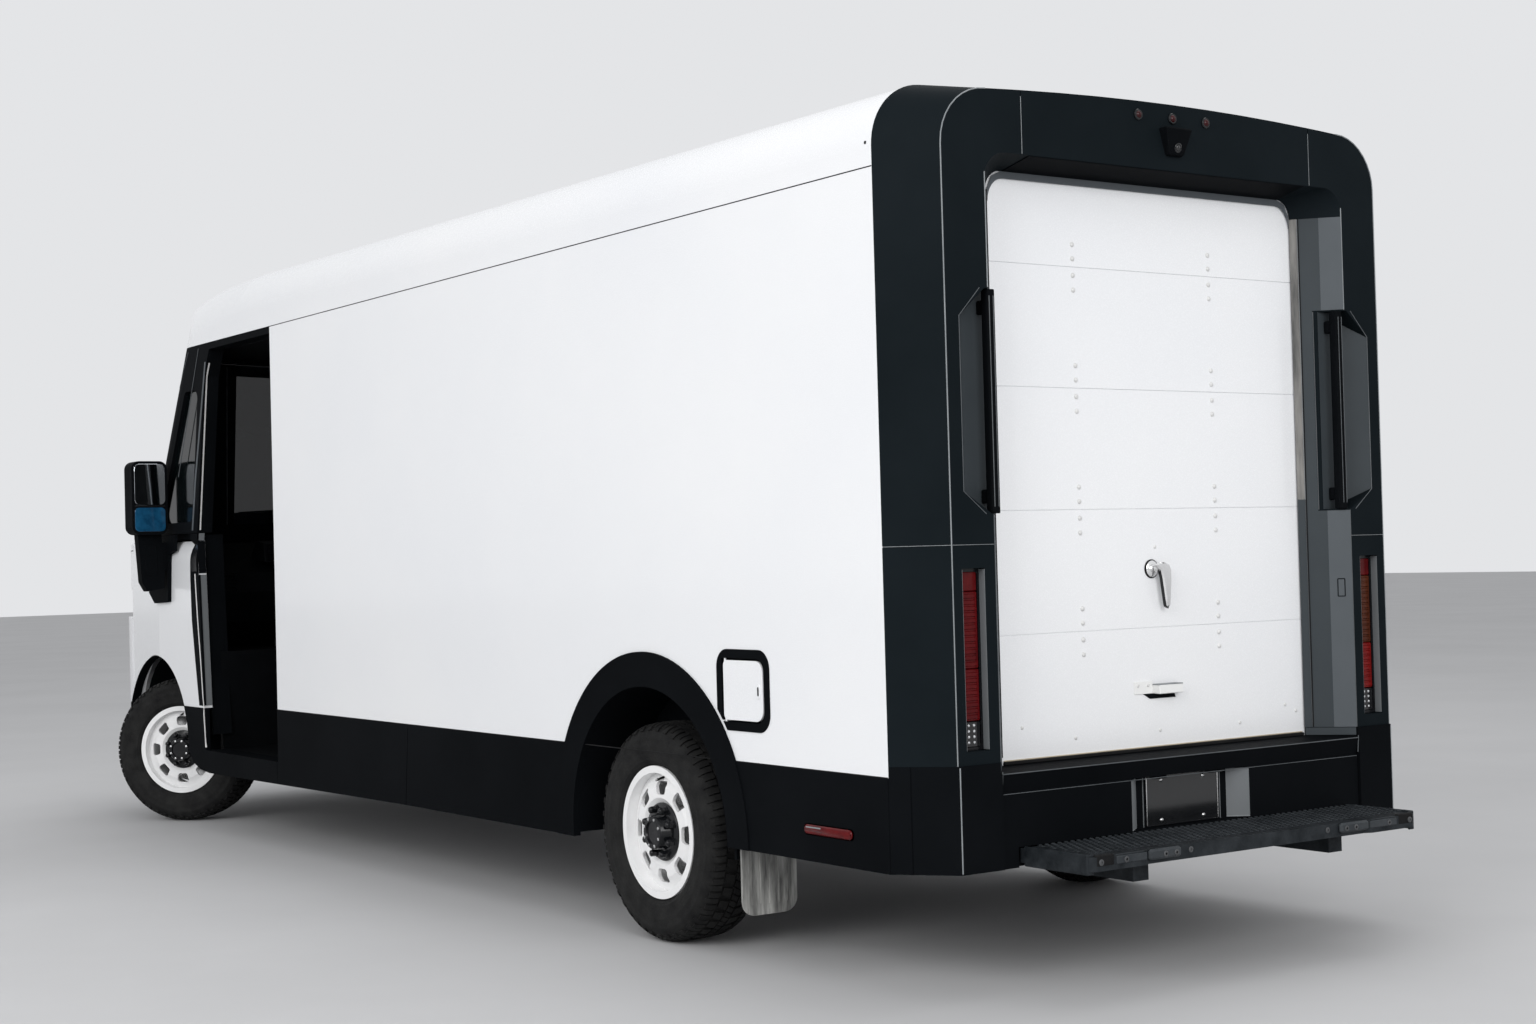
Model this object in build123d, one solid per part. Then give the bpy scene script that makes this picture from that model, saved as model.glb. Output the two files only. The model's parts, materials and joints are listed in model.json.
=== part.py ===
"""Electric cargo van: a long walk-in body on a battery frame, in separate panels, with pocket cab doors.

Frame: +X forward, +Y to the van's left, +Z up, millimetres. Origin on the ground at mid-length.
The pieces are drawn in the axle frame, whose origin is on the ground under the rear axle, and save() moves them.
"""
import os
from math import atan2, cos, degrees, radians, sin, sqrt, tan

from build123d import *

os.makedirs("parts", exist_ok=True)

# ---- Driving sizes ----
WHEELBASE = 4750
FRONT_OVERHANG = 900
REAR_OVERHANG = 1730          # to the tip of the rear step
HALF_WIDTH = 1038             # body side
FLOOR_Z = 648
RAIL_Z = 2358                 # seam between side and roof
GAP = 0.3                     # seat of one fixed piece on another
CLEAR = 6.0                   # air round a moving panel
FIT = 0.05                    # radial running fit of a pin or shaft

# wheels
TYRE_R = 362
TYRE_WIDTH = 225
WHEEL_FACE_Y = HALF_WIDTH - 20  # outer sidewall
BEAD_R = 208
FLANGE_R = 219
RIM_HALF = 98                 # half width over the flanges
SPINDLE_R = 45
HUB_R = 72
DISC_FACE = 70                # bolt face, outboard of the wheel's middle
WINDOWS = 8
STEER = 42                    # the wheels stand turned to the left
KINGPIN_Y = WHEEL_FACE_Y - 180
KINGPIN_R = 14
EYE_GAP = 98                  # from the hub's height to the eyes of the arms
EYE_THICK = 30

# body levels
SKIRT_Z = (362, 310, 290)     # lower edge at the tail, the middle and the cab
SILL_TOP = 398
FLOOR_THICK = 58
PANEL_Z = 630                 # lower edge of the painted side
SHOULDER_REAR = RAIL_Z + 230
SHOULDER_FRONT = SHOULDER_REAR + 46
CROWN = 52                    # rise of the roof's middle over its shoulders
CROWN_REAR = 42
SHOULDER_R = 190
ROOF_SKIN = 45
OPENING_TOP = RAIL_Z - 33

# body lengths, from the rear axle
BODY_REAR = -1296
FRAME_REAR = -1449
DOOR_PLANE = -1322
BUMPER_REAR = -1456
DOOR_FOOT_X = WHEELBASE - 693
OPENING_REAR = DOOR_FOOT_X - 901
CAP_SEAM = OPENING_REAR + 349
BULKHEAD_X = OPENING_REAR - 96

# walls, from the outside in
SKIN = 18
DOOR_THICK = 48
INNER_SKIN = 20
POCKET = DOOR_THICK + 2 * CLEAR
WALL = SKIN + POCKET + INNER_SKIN
TRAVEL = 970                  # of each cab door
INNER_Y = HALF_WIDTH - WALL
BEYOND = HALF_WIDTH + 200     # further out than any panel
FULL = (-BEYOND, BEYOND)

# arches
ARCH_R = 482
FLARE_R = 597
FLARE_PROUD = 8
FRONT_ARCH_R = 478
FRONT_ARCH_X = WHEELBASE + 20
LINER = 12

# front end
TIP_FRONT = WHEELBASE + FRONT_OVERHANG
RAKE_X = 560                  # the windscreen leans back this far
RAKE_Z = 912                  # over this height
BELT_Z = 1450
SCREEN_BASE_Z = BELT_Z + 7
SCREEN_BASE_X = WHEELBASE + 390
SCREEN_BOW_R = 2160
CAB_CORNER = 240              # of the cab's plan, between side and windscreen
FACE_X = TIP_FRONT - 80
FACE_BOW_R = 2125
LATCH_X = WHEELBASE - 618
HOOD_REAR = WHEELBASE + 450
HOOD_EDGE = HOOD_REAR - 2 * CLEAR  # front edge of what lies behind the hood
HOOD_SIDE_Z = BELT_Z - 75
FENDER_FRONT = WHEELBASE + 500
BAND_TOP = 1172
BAND_BOTTOM = 1030
BUMPER_LOW = 581
FENDER_LOW = 600
FENDER_SKIN = 40
HOOD_SKIN = 35

ORIGIN_X = -(TIP_FRONT - REAR_OVERHANG) / 2


def save(name, *solids):
    """Writes one node, moved from the axle frame to the van's own frame."""
    moved = [Pos(ORIGIN_X, 0, 0) * solid for solid in solids]
    export_step(moved[0] if len(moved) == 1 else Compound(children=moved), f"parts/{name}.step")


def block(x0, x1, y0, y1, z0, z1):
    """A box between two corners."""
    return Pos((x0 + x1) / 2, (y0 + y1) / 2, (z0 + z1) / 2) * Box(abs(x1 - x0), abs(y1 - y0), abs(z1 - z0))


def side_prism(points, y0, y1):
    """A side view (x, z) drawn across from y0 to y1."""
    face = make_face(Polyline([(x, y0, z) for x, z in points], close=True))
    return extrude(face, amount=abs(y1 - y0), dir=(0, 1 if y1 > y0 else -1, 0))


def plan_prism(points, z0, z1):
    """A plan (x, y) raised from z0 to z1."""
    face = make_face(Polyline([(x, y, z0) for x, y in points], close=True))
    return extrude(face, amount=z1 - z0, dir=(0, 0, 1))


def rod_y(x, z, radius, y0, y1):
    """A round bar across the van."""
    return Pos(x, (y0 + y1) / 2, z) * Rot(X=90) * Cylinder(radius, abs(y1 - y0))


def rod_z(x, y, radius, z0, z1):
    """An upright round bar."""
    return Pos(x, y, (z0 + z1) / 2) * Cylinder(radius, abs(z1 - z0))


def both(solid):
    """The piece and its twin on the other side."""
    return [solid, mirror(solid, about=Plane.XZ)]


def round_section(half, base, shoulder, crown, radius):
    """A roof-shaped outline: upright sides, rounded shoulders and a crowned top."""
    outline = make_face([
        Line((-half, base), (-half, shoulder)),
        ThreePointArc((-half, shoulder), (0, crown), (half, shoulder)),
        Line((half, shoulder), (half, base)),
        Line((half, base), (-half, base)),
    ])
    return fillet(outline.vertices().group_by(Axis.Y)[-1], radius)


def body_section(x, half, base, shoulder, radius, crown=CROWN):
    return Plane.YZ.offset(x) * round_section(half, base, shoulder, shoulder + crown, radius)


# ---- Wheels ----
def tyre():
    """Carcass and tread band, its middle at the origin, its axle along Y, outboard +Y."""
    half = TYRE_WIDTH / 2
    side = [(BEAD_R, 88), (222, 88), (226, 99), (250, half - 2), (290, half), (334, half - 7),
            (TYRE_R - 5, half - 24), (TYRE_R, half - 48)]
    outline = [(r, y) for r, y in side] + [(r, -y) for r, y in reversed(side)]
    return revolve(make_face(Polyline([(r, y, 0) for r, y in outline], close=True)), Axis.Y)


def rim():
    """Steel wheel: barrel, flanges, a pressed disc with windows, and the hub sleeve that runs on the spindle."""
    seat = BEAD_R - GAP
    barrel = [(seat - 12, -RIM_HALF), (FLANGE_R, -RIM_HALF), (FLANGE_R, -88 - GAP), (seat, -88 - GAP),
              (seat, 88 + GAP), (FLANGE_R, 88 + GAP), (FLANGE_R, RIM_HALF), (seat - 12, RIM_HALF)]
    disc = [(200, 58), (172, 68), (150, 80), (112, 82), (96, DISC_FACE), (SPINDLE_R + FIT, DISC_FACE)]
    disc += [(r, y - 12) for r, y in reversed(disc)]
    sleeve = [(SPINDLE_R + FIT, -34), (HUB_R, -34), (HUB_R, DISC_FACE - 2), (SPINDLE_R + FIT, DISC_FACE - 2)]
    wheel = None
    for outline in (barrel, disc, sleeve):
        ring = revolve(make_face(Polyline([(r, y, 0) for r, y in outline], close=True)), Axis.Y)
        wheel = ring if wheel is None else wheel + ring
    window = Polyline([(122, 40, -24), (167, 40, -34), (167, 40, 34), (122, 40, 24)], close=True)
    hole = fillet(extrude(make_face(window), amount=60, dir=(0, 1, 0), both=True).edges().filter_by(Axis.Y), 12)
    for number in range(WINDOWS):
        wheel -= Rot(Y=number * 360 / WINDOWS) * hole
    return wheel


WHEEL_MID_Y = WHEEL_FACE_Y - TYRE_WIDTH / 2
SCRUB = WHEEL_MID_Y - KINGPIN_Y


def rear_place(side):
    return Pos(0, side * WHEEL_MID_Y, TYRE_R) * (Rot(Z=0) if side > 0 else Rot(Z=180))


def front_place(side):
    turned = Pos(WHEELBASE, side * KINGPIN_Y, TYRE_R) * Rot(Z=STEER)
    return turned * Pos(0, side * SCRUB, 0) * (Rot(Z=0) if side > 0 else Rot(Z=180))


TYRE = tyre()
RIM = rim()
for side, hand in ((1, "left"), (-1, "right")):
    save(f"tyre_rear_{hand}", rear_place(side) * TYRE)
    save(f"rim_rear_{hand}", rear_place(side) * RIM)
    save(f"tyre_front_{hand}", front_place(side) * TYRE)
    save(f"rim_front_{hand}", front_place(side) * RIM)


def knuckle(side):
    """Upright with its kingpin and the spindle, straight ahead at the kingpin."""
    post = rod_z(0, 0, 28, -EYE_GAP + GAP, EYE_GAP - GAP)
    pin = rod_z(0, 0, KINGPIN_R, -EYE_GAP - EYE_THICK + 4, EYE_GAP + EYE_THICK - 4)
    spindle = rod_y(0, 0, SPINDLE_R, side * 10, side * (SCRUB + DISC_FACE - 8))
    arm = block(-150, 0, -side * 14, side * 14, -70, -50)
    return post + pin + spindle + arm


for side, hand in ((1, "left"), (-1, "right")):
    save(f"knuckle_{hand}", Pos(WHEELBASE, side * KINGPIN_Y, TYRE_R) * Rot(Z=STEER) * knuckle(side))

# ---- Frame, axles and battery ----
RAIL_IN = 380
RAIL_OUT = 440
RAIL_LOW = 424
RAIL_TOP = FLOOR_Z - FLOOR_THICK - GAP
FRAME_FRONT = WHEELBASE + 600
PACK_X = (760, WHEELBASE - 850)
PACK_LOW = 262


def chassis_frame():
    frame = None
    for rail in both(block(-1270, FRAME_FRONT, RAIL_IN, RAIL_OUT, RAIL_LOW, RAIL_TOP)):
        frame = rail if frame is None else frame + rail
    for x in (-1230, -640, 640, WHEELBASE - 690, WHEELBASE - 420, FRAME_FRONT - 60):
        frame += block(x, x + 60, -RAIL_IN, RAIL_IN, RAIL_LOW + 30, RAIL_TOP - 30)
    return frame


def rear_axle():
    """Beam axle with its drive housing, on two leaf springs that hang from the rails."""
    beam = rod_y(0, TYRE_R, 55, -(WHEEL_MID_Y - 80), WHEEL_MID_Y - 80)
    stub = rod_y(0, TYRE_R, SPINDLE_R, -(WHEEL_MID_Y + DISC_FACE - 8), WHEEL_MID_Y + DISC_FACE - 8)
    axle = beam + stub + Pos(0, 0, TYRE_R) * Box(330, 400, 230)
    for spring in both(block(-640, 640, 480, 550, TYRE_R + 40, TYRE_R + 68)):
        axle += spring
    for x in (-640, 600):
        for hanger in both(block(x, x + 40, RAIL_OUT + GAP, 550, TYRE_R + 40, RAIL_TOP - 40)):
            axle += hanger
    return axle


def front_axle():
    """Drive unit and crossmember under the rails, with an upper and a lower arm to each kingpin."""
    low = TYRE_R - EYE_GAP - EYE_THICK
    high = TYRE_R + EYE_GAP
    unit = block(WHEELBASE - 190, WHEELBASE + 190, -330, 330, low, RAIL_LOW + 90)
    unit += block(WHEELBASE - 90, WHEELBASE + 90, -470, 470, low, RAIL_LOW - GAP)
    for tower in both(block(WHEELBASE - 60, WHEELBASE + 60, RAIL_OUT + GAP, 490, low, high + EYE_THICK)):
        unit += tower
    for level in (low, high):
        for arm in both(block(WHEELBASE - 24, WHEELBASE + 24, 480, KINGPIN_Y, level, level + EYE_THICK)):
            unit += arm
        for eye in both(rod_z(WHEELBASE, KINGPIN_Y, 30, level, level + EYE_THICK)):
            unit += eye
        for bore in both(rod_z(WHEELBASE, KINGPIN_Y, KINGPIN_R + FIT, level - 1, level + EYE_THICK + 1)):
            unit -= bore
    return unit


save("chassis_frame", chassis_frame())
save("battery_pack", block(*PACK_X, -RAIL_IN + GAP, RAIL_IN - GAP, PACK_LOW, RAIL_TOP - 20))
save("rear_axle", rear_axle())
save("front_axle", front_axle())

# ---- Floor, bulkhead ----
STEP_IN = HALF_WIDTH - 518    # half width of the cab floor between its step wells
STEP_THICK = 30
CAB_FRONT = WHEELBASE - 620
FIREWALL_X = WHEELBASE + 290
LINER_DECK = TYRE_R + FRONT_ARCH_R + LINER + GAP
WELL_IN = HALF_WIDTH - 268    # inner face of the rear wheel boxes
FLOOR_LOW = FLOOR_Z - FLOOR_THICK
FLOOR_FRONT = BULKHEAD_X + 40  # the load floor ends under the bulkhead's front face


def floor():
    """Load floor, notched round the rear wheel boxes."""
    deck = block(BODY_REAR + 40, FLOOR_FRONT, -INNER_Y + GAP, INNER_Y - GAP, FLOOR_LOW, FLOOR_Z)
    for well in both(block(-ARCH_R - LINER, ARCH_R + LINER, WELL_IN - LINER - GAP, HALF_WIDTH, FLOOR_LOW - 1,
                           FLOOR_Z + 1)):
        deck -= well
    return deck


def cab_floor():
    """Cab floor with a low step well at each door and a shelf over each front wheel."""
    well_low = SILL_TOP - STEP_THICK
    outer = INNER_Y - GAP
    rear = FLOOR_FRONT + GAP
    deck = block(rear, FIREWALL_X, -STEP_IN, STEP_IN, FLOOR_LOW, FLOOR_Z)
    sides = [block(rear, CAB_FRONT, STEP_IN - 40, outer, well_low, SILL_TOP),
             block(rear, CAB_FRONT, STEP_IN - 40, STEP_IN, well_low, FLOOR_Z),
             block(rear, rear + 40, STEP_IN - 40, outer, well_low, FLOOR_Z),
             block(CAB_FRONT - 30, CAB_FRONT, STEP_IN - 40, outer, well_low, LINER_DECK),
             block(CAB_FRONT - 30, FIREWALL_X, STEP_IN - 40, outer, LINER_DECK, LINER_DECK + 15),
             block(CAB_FRONT - 30, FIREWALL_X, STEP_IN - 40, STEP_IN, FLOOR_Z - 1, LINER_DECK + 1)]
    for piece in sides:
        for solid in both(piece):
            deck += solid
    return deck


save("floor", floor())
save("cab_floor", cab_floor())
save("bulkhead", block(BULKHEAD_X, BULKHEAD_X + 40, -INNER_Y + GAP, INNER_Y - GAP, FLOOR_Z + GAP, RAIL_Z + 150))

# ---- Side walls with their door pockets ----
DOOR_HEM = SILL_TOP + CLEAR
CHARGE_X = (-724, -437)
CHARGE_Z = (726, 978)
CHARGE_DEPTH = 70


def side_wall():
    """Left wall: solid panel with a slot at the front that takes the open cab door."""
    wall = block(BODY_REAR, OPENING_REAR, INNER_Y, HALF_WIDTH, PANEL_Z + GAP, RAIL_Z - GAP)
    slot_rear = OPENING_REAR - TRAVEL - 3 * CLEAR
    wall -= block(slot_rear, OPENING_REAR + 1, INNER_Y + INNER_SKIN, HALF_WIDTH - SKIN, PANEL_Z - 1,
                  OPENING_TOP + CLEAR)
    wall -= rod_y(0, TYRE_R, FLARE_R + GAP, INNER_Y - 1, HALF_WIDTH + 1)
    return wall


def charge_cut(grow):
    corner = block(CHARGE_X[0] - grow, CHARGE_X[1] + grow, HALF_WIDTH - CHARGE_DEPTH - grow, HALF_WIDTH + 20,
                   CHARGE_Z[0] - grow, CHARGE_Z[1] + grow)
    return fillet(corner.edges().filter_by(Axis.Y), 58) - rod_y(0, TYRE_R, FLARE_R + 14 - grow, 0, HALF_WIDTH + 40)


CHARGE_DOOR_X = (-690, -476)
CHARGE_DOOR_Z = (759, 944)
CHARGE_HINGE = (CHARGE_DOOR_X[1] - 6, HALF_WIDTH - 2)
CHARGE_PIN_R = 4
CHARGE_PROUD = 3


def charge_bezel():
    """Dark surround of the charge port, with the pocket behind its door and the bores of the door's pins."""
    frame = charge_cut(0) & block(CHARGE_X[0], CHARGE_X[1], 0, HALF_WIDTH + CHARGE_PROUD, 0, 3000)
    well = block(CHARGE_DOOR_X[0] - CLEAR, CHARGE_DOOR_X[1] + CLEAR + 4, HALF_WIDTH - CHARGE_DEPTH + 10,
                 HALF_WIDTH + 20, CHARGE_DOOR_Z[0] - CLEAR, CHARGE_DOOR_Z[1] + CLEAR)
    frame -= fillet(well.edges().filter_by(Axis.Y).group_by(Axis.X)[0], 40)
    x, y = CHARGE_HINGE
    return frame - rod_z(x, y, CHARGE_PIN_R + FIT, CHARGE_DOOR_Z[0] - CLEAR - 9, CHARGE_DOOR_Z[1] + CLEAR + 9)


def charge_door():
    x, y = CHARGE_HINGE
    panel = block(*CHARGE_DOOR_X, HALF_WIDTH - 5, HALF_WIDTH + CHARGE_PROUD, *CHARGE_DOOR_Z)
    panel = fillet(panel.edges().filter_by(Axis.Y).group_by(Axis.X)[0], 38)
    panel = fillet(panel.edges().filter_by(Axis.Y).group_by(Axis.X)[-1], 18)
    for low, high in ((CHARGE_DOOR_Z[0] - CLEAR - 7, CHARGE_DOOR_Z[0] + 12),
                      (CHARGE_DOOR_Z[1] - 12, CHARGE_DOOR_Z[1] + CLEAR + 7)):
        panel += rod_z(x, y, CHARGE_PIN_R, low, high)
    return panel


def charge_socket():
    x = sum(CHARGE_DOOR_X) / 2
    z = sum(CHARGE_DOOR_Z) / 2
    back = HALF_WIDTH - CHARGE_DEPTH + 10 + GAP
    socket = rod_y(x, z + 25, 40, back, back + 28) + rod_y(x, z - 35, 32, back, back + 28)
    return socket - rod_y(x, z + 25, 26, back + 8, back + 40)


save("side_wall_left", side_wall() - charge_cut(GAP))
save("charge_bezel", charge_bezel())
save("charge_door", charge_door())
save("charge_socket", charge_socket())
save("side_wall_right", mirror(side_wall(), about=Plane.XZ))

# ---- Skirts, flares and wheel boxes ----
SKIRT_SKIN = 18
SKIRT_BREAK = 1819
SEAM = 4                      # width and depth of the grooves between mouldings
SEAM_DEEP = 3
LINER_OUT = HALF_WIDTH - FENDER_SKIN - 60


def skirt():
    """Left skirt: the cladding below the painted side, with the rear arch's flare and the sill at the door."""
    low_rear, low_mid, low_front = SKIRT_Z
    front_end = WHEELBASE - 200
    outline = [(BODY_REAR, low_rear), (-ARCH_R, low_rear), (ARCH_R, low_mid), (SKIRT_BREAK, low_mid),
               (DOOR_FOOT_X - 40, low_front), (DOOR_FOOT_X + 90, low_front + 12),
               (DOOR_FOOT_X + 170, low_front + 36), (DOOR_FOOT_X + 230, low_front + 84),
               (front_end, low_front + 150), (front_end, FENDER_LOW - GAP), (DOOR_FOOT_X, FENDER_LOW - GAP),
               (DOOR_FOOT_X, SILL_TOP), (OPENING_REAR, SILL_TOP), (OPENING_REAR, PANEL_Z), (BODY_REAR, PANEL_Z)]
    plate = side_prism(outline, HALF_WIDTH - SKIRT_SKIN, HALF_WIDTH + 3)
    sill_rear = OPENING_REAR - TRAVEL - 60
    plate += side_prism([(sill_rear, low_mid), (DOOR_FOOT_X - 40, low_front + 4), (DOOR_FOOT_X, low_front + 8),
                         (DOOR_FOOT_X, SILL_TOP), (sill_rear, SILL_TOP)], INNER_Y + GAP, HALF_WIDTH - 1)
    flare = rod_y(0, TYRE_R, FLARE_R, HALF_WIDTH - SKIRT_SKIN, HALF_WIDTH + FLARE_PROUD)
    flare -= block(0, FLARE_R, 0, BEYOND, -FLARE_R, low_mid)
    flare -= block(-FLARE_R, 0, 0, BEYOND, -FLARE_R, low_rear)
    plate += flare
    plate -= rod_y(0, TYRE_R, ARCH_R, HALF_WIDTH - 200, HALF_WIDTH + 40)
    plate -= rod_y(FRONT_ARCH_X, TYRE_R, FRONT_ARCH_R, HALF_WIDTH - 200, HALF_WIDTH + 40)
    for foot, head in ((SKIRT_BREAK + 18, SKIRT_BREAK - 16), (OPENING_REAR + 12, OPENING_REAR + 12)):
        plate -= side_prism([(foot, low_front), (foot + SEAM, low_front), (head + SEAM, PANEL_Z - 12),
                             (head, PANEL_Z - 12)], HALF_WIDTH + 3 - SEAM_DEEP, BEYOND)
    return plate


def rear_liner():
    """Left wheel box at the rear: the arch sheet and its inner wall."""
    y_out = HALF_WIDTH - SKIRT_SKIN - GAP
    liner = rod_y(0, TYRE_R, ARCH_R + LINER, WELL_IN, y_out) - rod_y(0, TYRE_R, ARCH_R, WELL_IN + LINER, y_out + 1)
    liner -= block(-ARCH_R - 50, ARCH_R + 50, 0, HALF_WIDTH + 40, -200, TYRE_R - 40)
    liner -= rod_y(0, TYRE_R, 150, 0, HALF_WIDTH)
    liner -= block(-150, 150, 0, WELL_IN + LINER + 1, 0, TYRE_R)
    return liner


def front_liner():
    """Left wheel box at the front: the arch sheet, clear of the turned wheel."""
    y_in = STEP_IN + 12
    liner = rod_y(FRONT_ARCH_X, TYRE_R, FRONT_ARCH_R + LINER, y_in, LINER_OUT)
    liner -= rod_y(FRONT_ARCH_X, TYRE_R, FRONT_ARCH_R, y_in - 1, LINER_OUT + 1)
    return liner - block(FRONT_ARCH_X - 600, FRONT_ARCH_X + 600, 0, HALF_WIDTH + 40, -200, TYRE_R)


save("skirt_left", skirt())
save("skirt_right", mirror(skirt(), about=Plane.XZ))
save("rear_liners", *both(rear_liner()))
save("front_liners", *both(front_liner()))
save("mud_flaps", *both(block(-ARCH_R - LINER - 20, -ARCH_R - LINER - 12, WELL_IN + 30,
                              HALF_WIDTH - SKIRT_SKIN - GAP, 145, 420)))

# ---- Roof ----
CAP_SECTION_R = 330           # shoulder radius far ahead of the cap's nose
CAP_REACH = 1400


def roof_skin(grow, reach):
    """The roof's solid between its ends, smaller all round by grow and longer by reach."""
    return loft([body_section(BODY_REAR - reach, HALF_WIDTH - grow, RAIL_Z - reach, SHOULDER_REAR - grow,
                              SHOULDER_R - grow, CROWN_REAR),
                 body_section(CAP_SEAM + reach, HALF_WIDTH - grow, RAIL_Z - reach, SHOULDER_FRONT - grow,
                              SHOULDER_R - grow)], ruled=True)


def raked(x_at_base, half, corner, z0, z1):
    """The cab's plan, bowed at the front, raised from z0 to z1 along the windscreen's lean."""
    nose = x_at_base - (z0 - SCREEN_BASE_Z) * RAKE_X / RAKE_Z
    back = nose - SCREEN_BOW_R + sqrt(SCREEN_BOW_R ** 2 - half ** 2)
    rear = WHEELBASE / 2
    plan = make_face([
        Line((rear, -half), (back, -half)),
        ThreePointArc((back, -half), (nose, 0), (back, half)),
        Line((back, half), (rear, half)),
        Line((rear, half), (rear, -half)),
    ])
    plan = fillet(plan.vertices().group_by(Axis.X)[-1], corner)
    length = (z1 - z0) / RAKE_Z * sqrt(RAKE_X ** 2 + RAKE_Z ** 2)
    return extrude(Pos(0, 0, z0) * plan, amount=length, dir=(-RAKE_X, 0, RAKE_Z))


def cap_solid(skin):
    """Solid of the roof cap over the cab, smaller all round by skin."""
    nose_x = SCREEN_BASE_X - (RAIL_Z - SCREEN_BASE_Z) * RAKE_X / RAKE_Z
    rear = CAP_SEAM - 5 - skin / 4
    low = RAIL_Z - 20 - skin / 4
    drop = [(rear, SHOULDER_FRONT + CROWN + 10 - skin), (CAP_SEAM + 385, SHOULDER_FRONT + 8 - skin),
            (CAP_SEAM + 680, SHOULDER_FRONT - 84 - skin), (CAP_SEAM + 900, SHOULDER_FRONT - 180 - skin),
            (nose_x + 20 - skin, RAIL_Z - 8)]
    top = Spline([(x, -BEYOND, z) for x, z in drop], tangents=[(1, 0, -0.03), (0.75, 0, -0.66)])
    base = Polyline([(drop[-1][0], -BEYOND, drop[-1][1]), (drop[-1][0], -BEYOND, low), (rear, -BEYOND, low),
                     (rear, -BEYOND, drop[0][1])])
    side_view = extrude(make_face([top, base]), amount=2 * BEYOND, dir=(0, 1, 0))
    deep = RAIL_Z - 400
    section = loft([body_section(rear - 1, HALF_WIDTH - skin, deep, SHOULDER_FRONT - skin, SHOULDER_R - skin),
                    body_section(CAP_SEAM + CAP_REACH, HALF_WIDTH - skin, deep, SHOULDER_FRONT - skin,
                                 CAP_SECTION_R - skin)], ruled=True)
    plan = raked(SCREEN_BASE_X - skin, HALF_WIDTH - skin, CAB_CORNER - skin / 2, RAIL_Z - 30, SHOULDER_FRONT + 100)
    return side_view & section & plan


def front_roof_cap():
    keep = block(CAP_SEAM + GAP, SCREEN_BASE_X, *FULL, RAIL_Z, SHOULDER_FRONT + 200)
    return (cap_solid(0) - cap_solid(60)) & keep


save("roof_panel", roof_skin(0, 0) - roof_skin(ROOF_SKIN, 1))
save("front_roof_cap", front_roof_cap())

# ---- Rear portal, bumper, roll-up door, step ----
PORTAL_HALF = HALF_WIDTH - 126
JAMB_HALF = PORTAL_HALF - 157  # the doorway's, at the rear face
DOOR_HALF = JAMB_HALF - 109
PORTAL_TOP = RAIL_Z + 40
DOOR_TOP = PORTAL_TOP - 26
BUMPER_TOP = 663
PORTAL_SEAT = BODY_REAR - GAP
LAMP_Y = (PORTAL_HALF - 119, PORTAL_HALF - 35)
LAMP_Z = (701, 1214)
LAMP_DEEP = 56
LAMP_SUNK = 24
LAMP_RIM = 7
GRIP_Y = (PORTAL_HALF - 222, PORTAL_HALF - 50)
GRIP_Z = (1366, 2006)
GRIP_DEEP = 64
GRIP_BAR = 40                 # width of the bar
DOOR_BACK = DOOR_PLANE - 4    # the jambs end here, just behind the door's face
SEAM_Z = 1280
BEAM_SEAM_Y = JAMB_HALF - 147


def portal_outer(base, x_rear, x_front):
    rear = body_section(x_rear, PORTAL_HALF, base, SHOULDER_REAR - 24, SHOULDER_R - 20, CROWN_REAR - 6)
    front = body_section(x_front, HALF_WIDTH, base, SHOULDER_REAR + 2, SHOULDER_R, CROWN_REAR)
    return loft([rear, front], ruled=True)


def rounded_opening(x, half, base, top, radius):
    outline = Pos(0, (base + top) / 2) * Rectangle(2 * half, top - base)
    return Plane.YZ.offset(x) * fillet(outline.vertices().group_by(Axis.Y)[-1], radius)


def rear_frame():
    """The dark portal round the tail door, with splayed jambs and a recess behind each grip."""
    foot = BUMPER_TOP - 60
    shell = portal_outer(BUMPER_TOP, FRAME_REAR, PORTAL_SEAT)
    shell -= loft([rounded_opening(FRAME_REAR - 1, JAMB_HALF, foot, PORTAL_TOP, 80),
                   rounded_opening(DOOR_BACK, DOOR_HALF, foot, DOOR_TOP, 60)], ruled=True)
    shell -= block(DOOR_BACK - 0.2, BODY_REAR + 10, -DOOR_HALF - 60, DOOR_HALF + 60, foot, DOOR_TOP + 40)
    for pocket in both(block(FRAME_REAR - 20, FRAME_REAR + LAMP_DEEP, *LAMP_Y, *LAMP_Z)):
        shell -= pocket
    for pocket in both(grip_recess()):
        shell -= pocket
    for groove in portal_seams():
        shell -= groove
    return shell


def grip_recess():
    """Left recess, open to the rear and to the doorway, with slanted outer corners."""
    low, high = GRIP_Z
    inner, outer = GRIP_Y
    outline = [(inner, low), (inner + 70, low), (outer, low + 64), (outer, high - 82), (inner + 76, high),
               (inner, high)]
    face = make_face(Polyline([(FRAME_REAR - 10, y, z) for y, z in outline], close=True))
    return extrude(face, amount=GRIP_DEEP + 10, dir=(1, 0, 0))


def portal_seams():
    """Grooves where the portal's mouldings meet: one across each side and two in the top beam."""
    deep = SEAM_DEEP
    edge = FRAME_REAR - 10
    grooves = both(block(edge, FRAME_REAR + deep, JAMB_HALF, BEYOND, SEAM_Z - SEAM / 2, SEAM_Z + SEAM / 2))
    grooves += both(block(edge, FRAME_REAR + deep, BEAM_SEAM_Y - SEAM / 2, BEAM_SEAM_Y + SEAM / 2, PORTAL_TOP,
                          SHOULDER_REAR + 100))
    slant = [(edge, PORTAL_HALF - 8 - deep), (FRAME_REAR + 1, PORTAL_HALF - deep),
             (PORTAL_SEAT, HALF_WIDTH - deep), (PORTAL_SEAT, BEYOND), (edge, BEYOND)]
    return grooves + both(plan_prism(slant, SEAM_Z - SEAM / 2, SEAM_Z + SEAM / 2))


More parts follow.
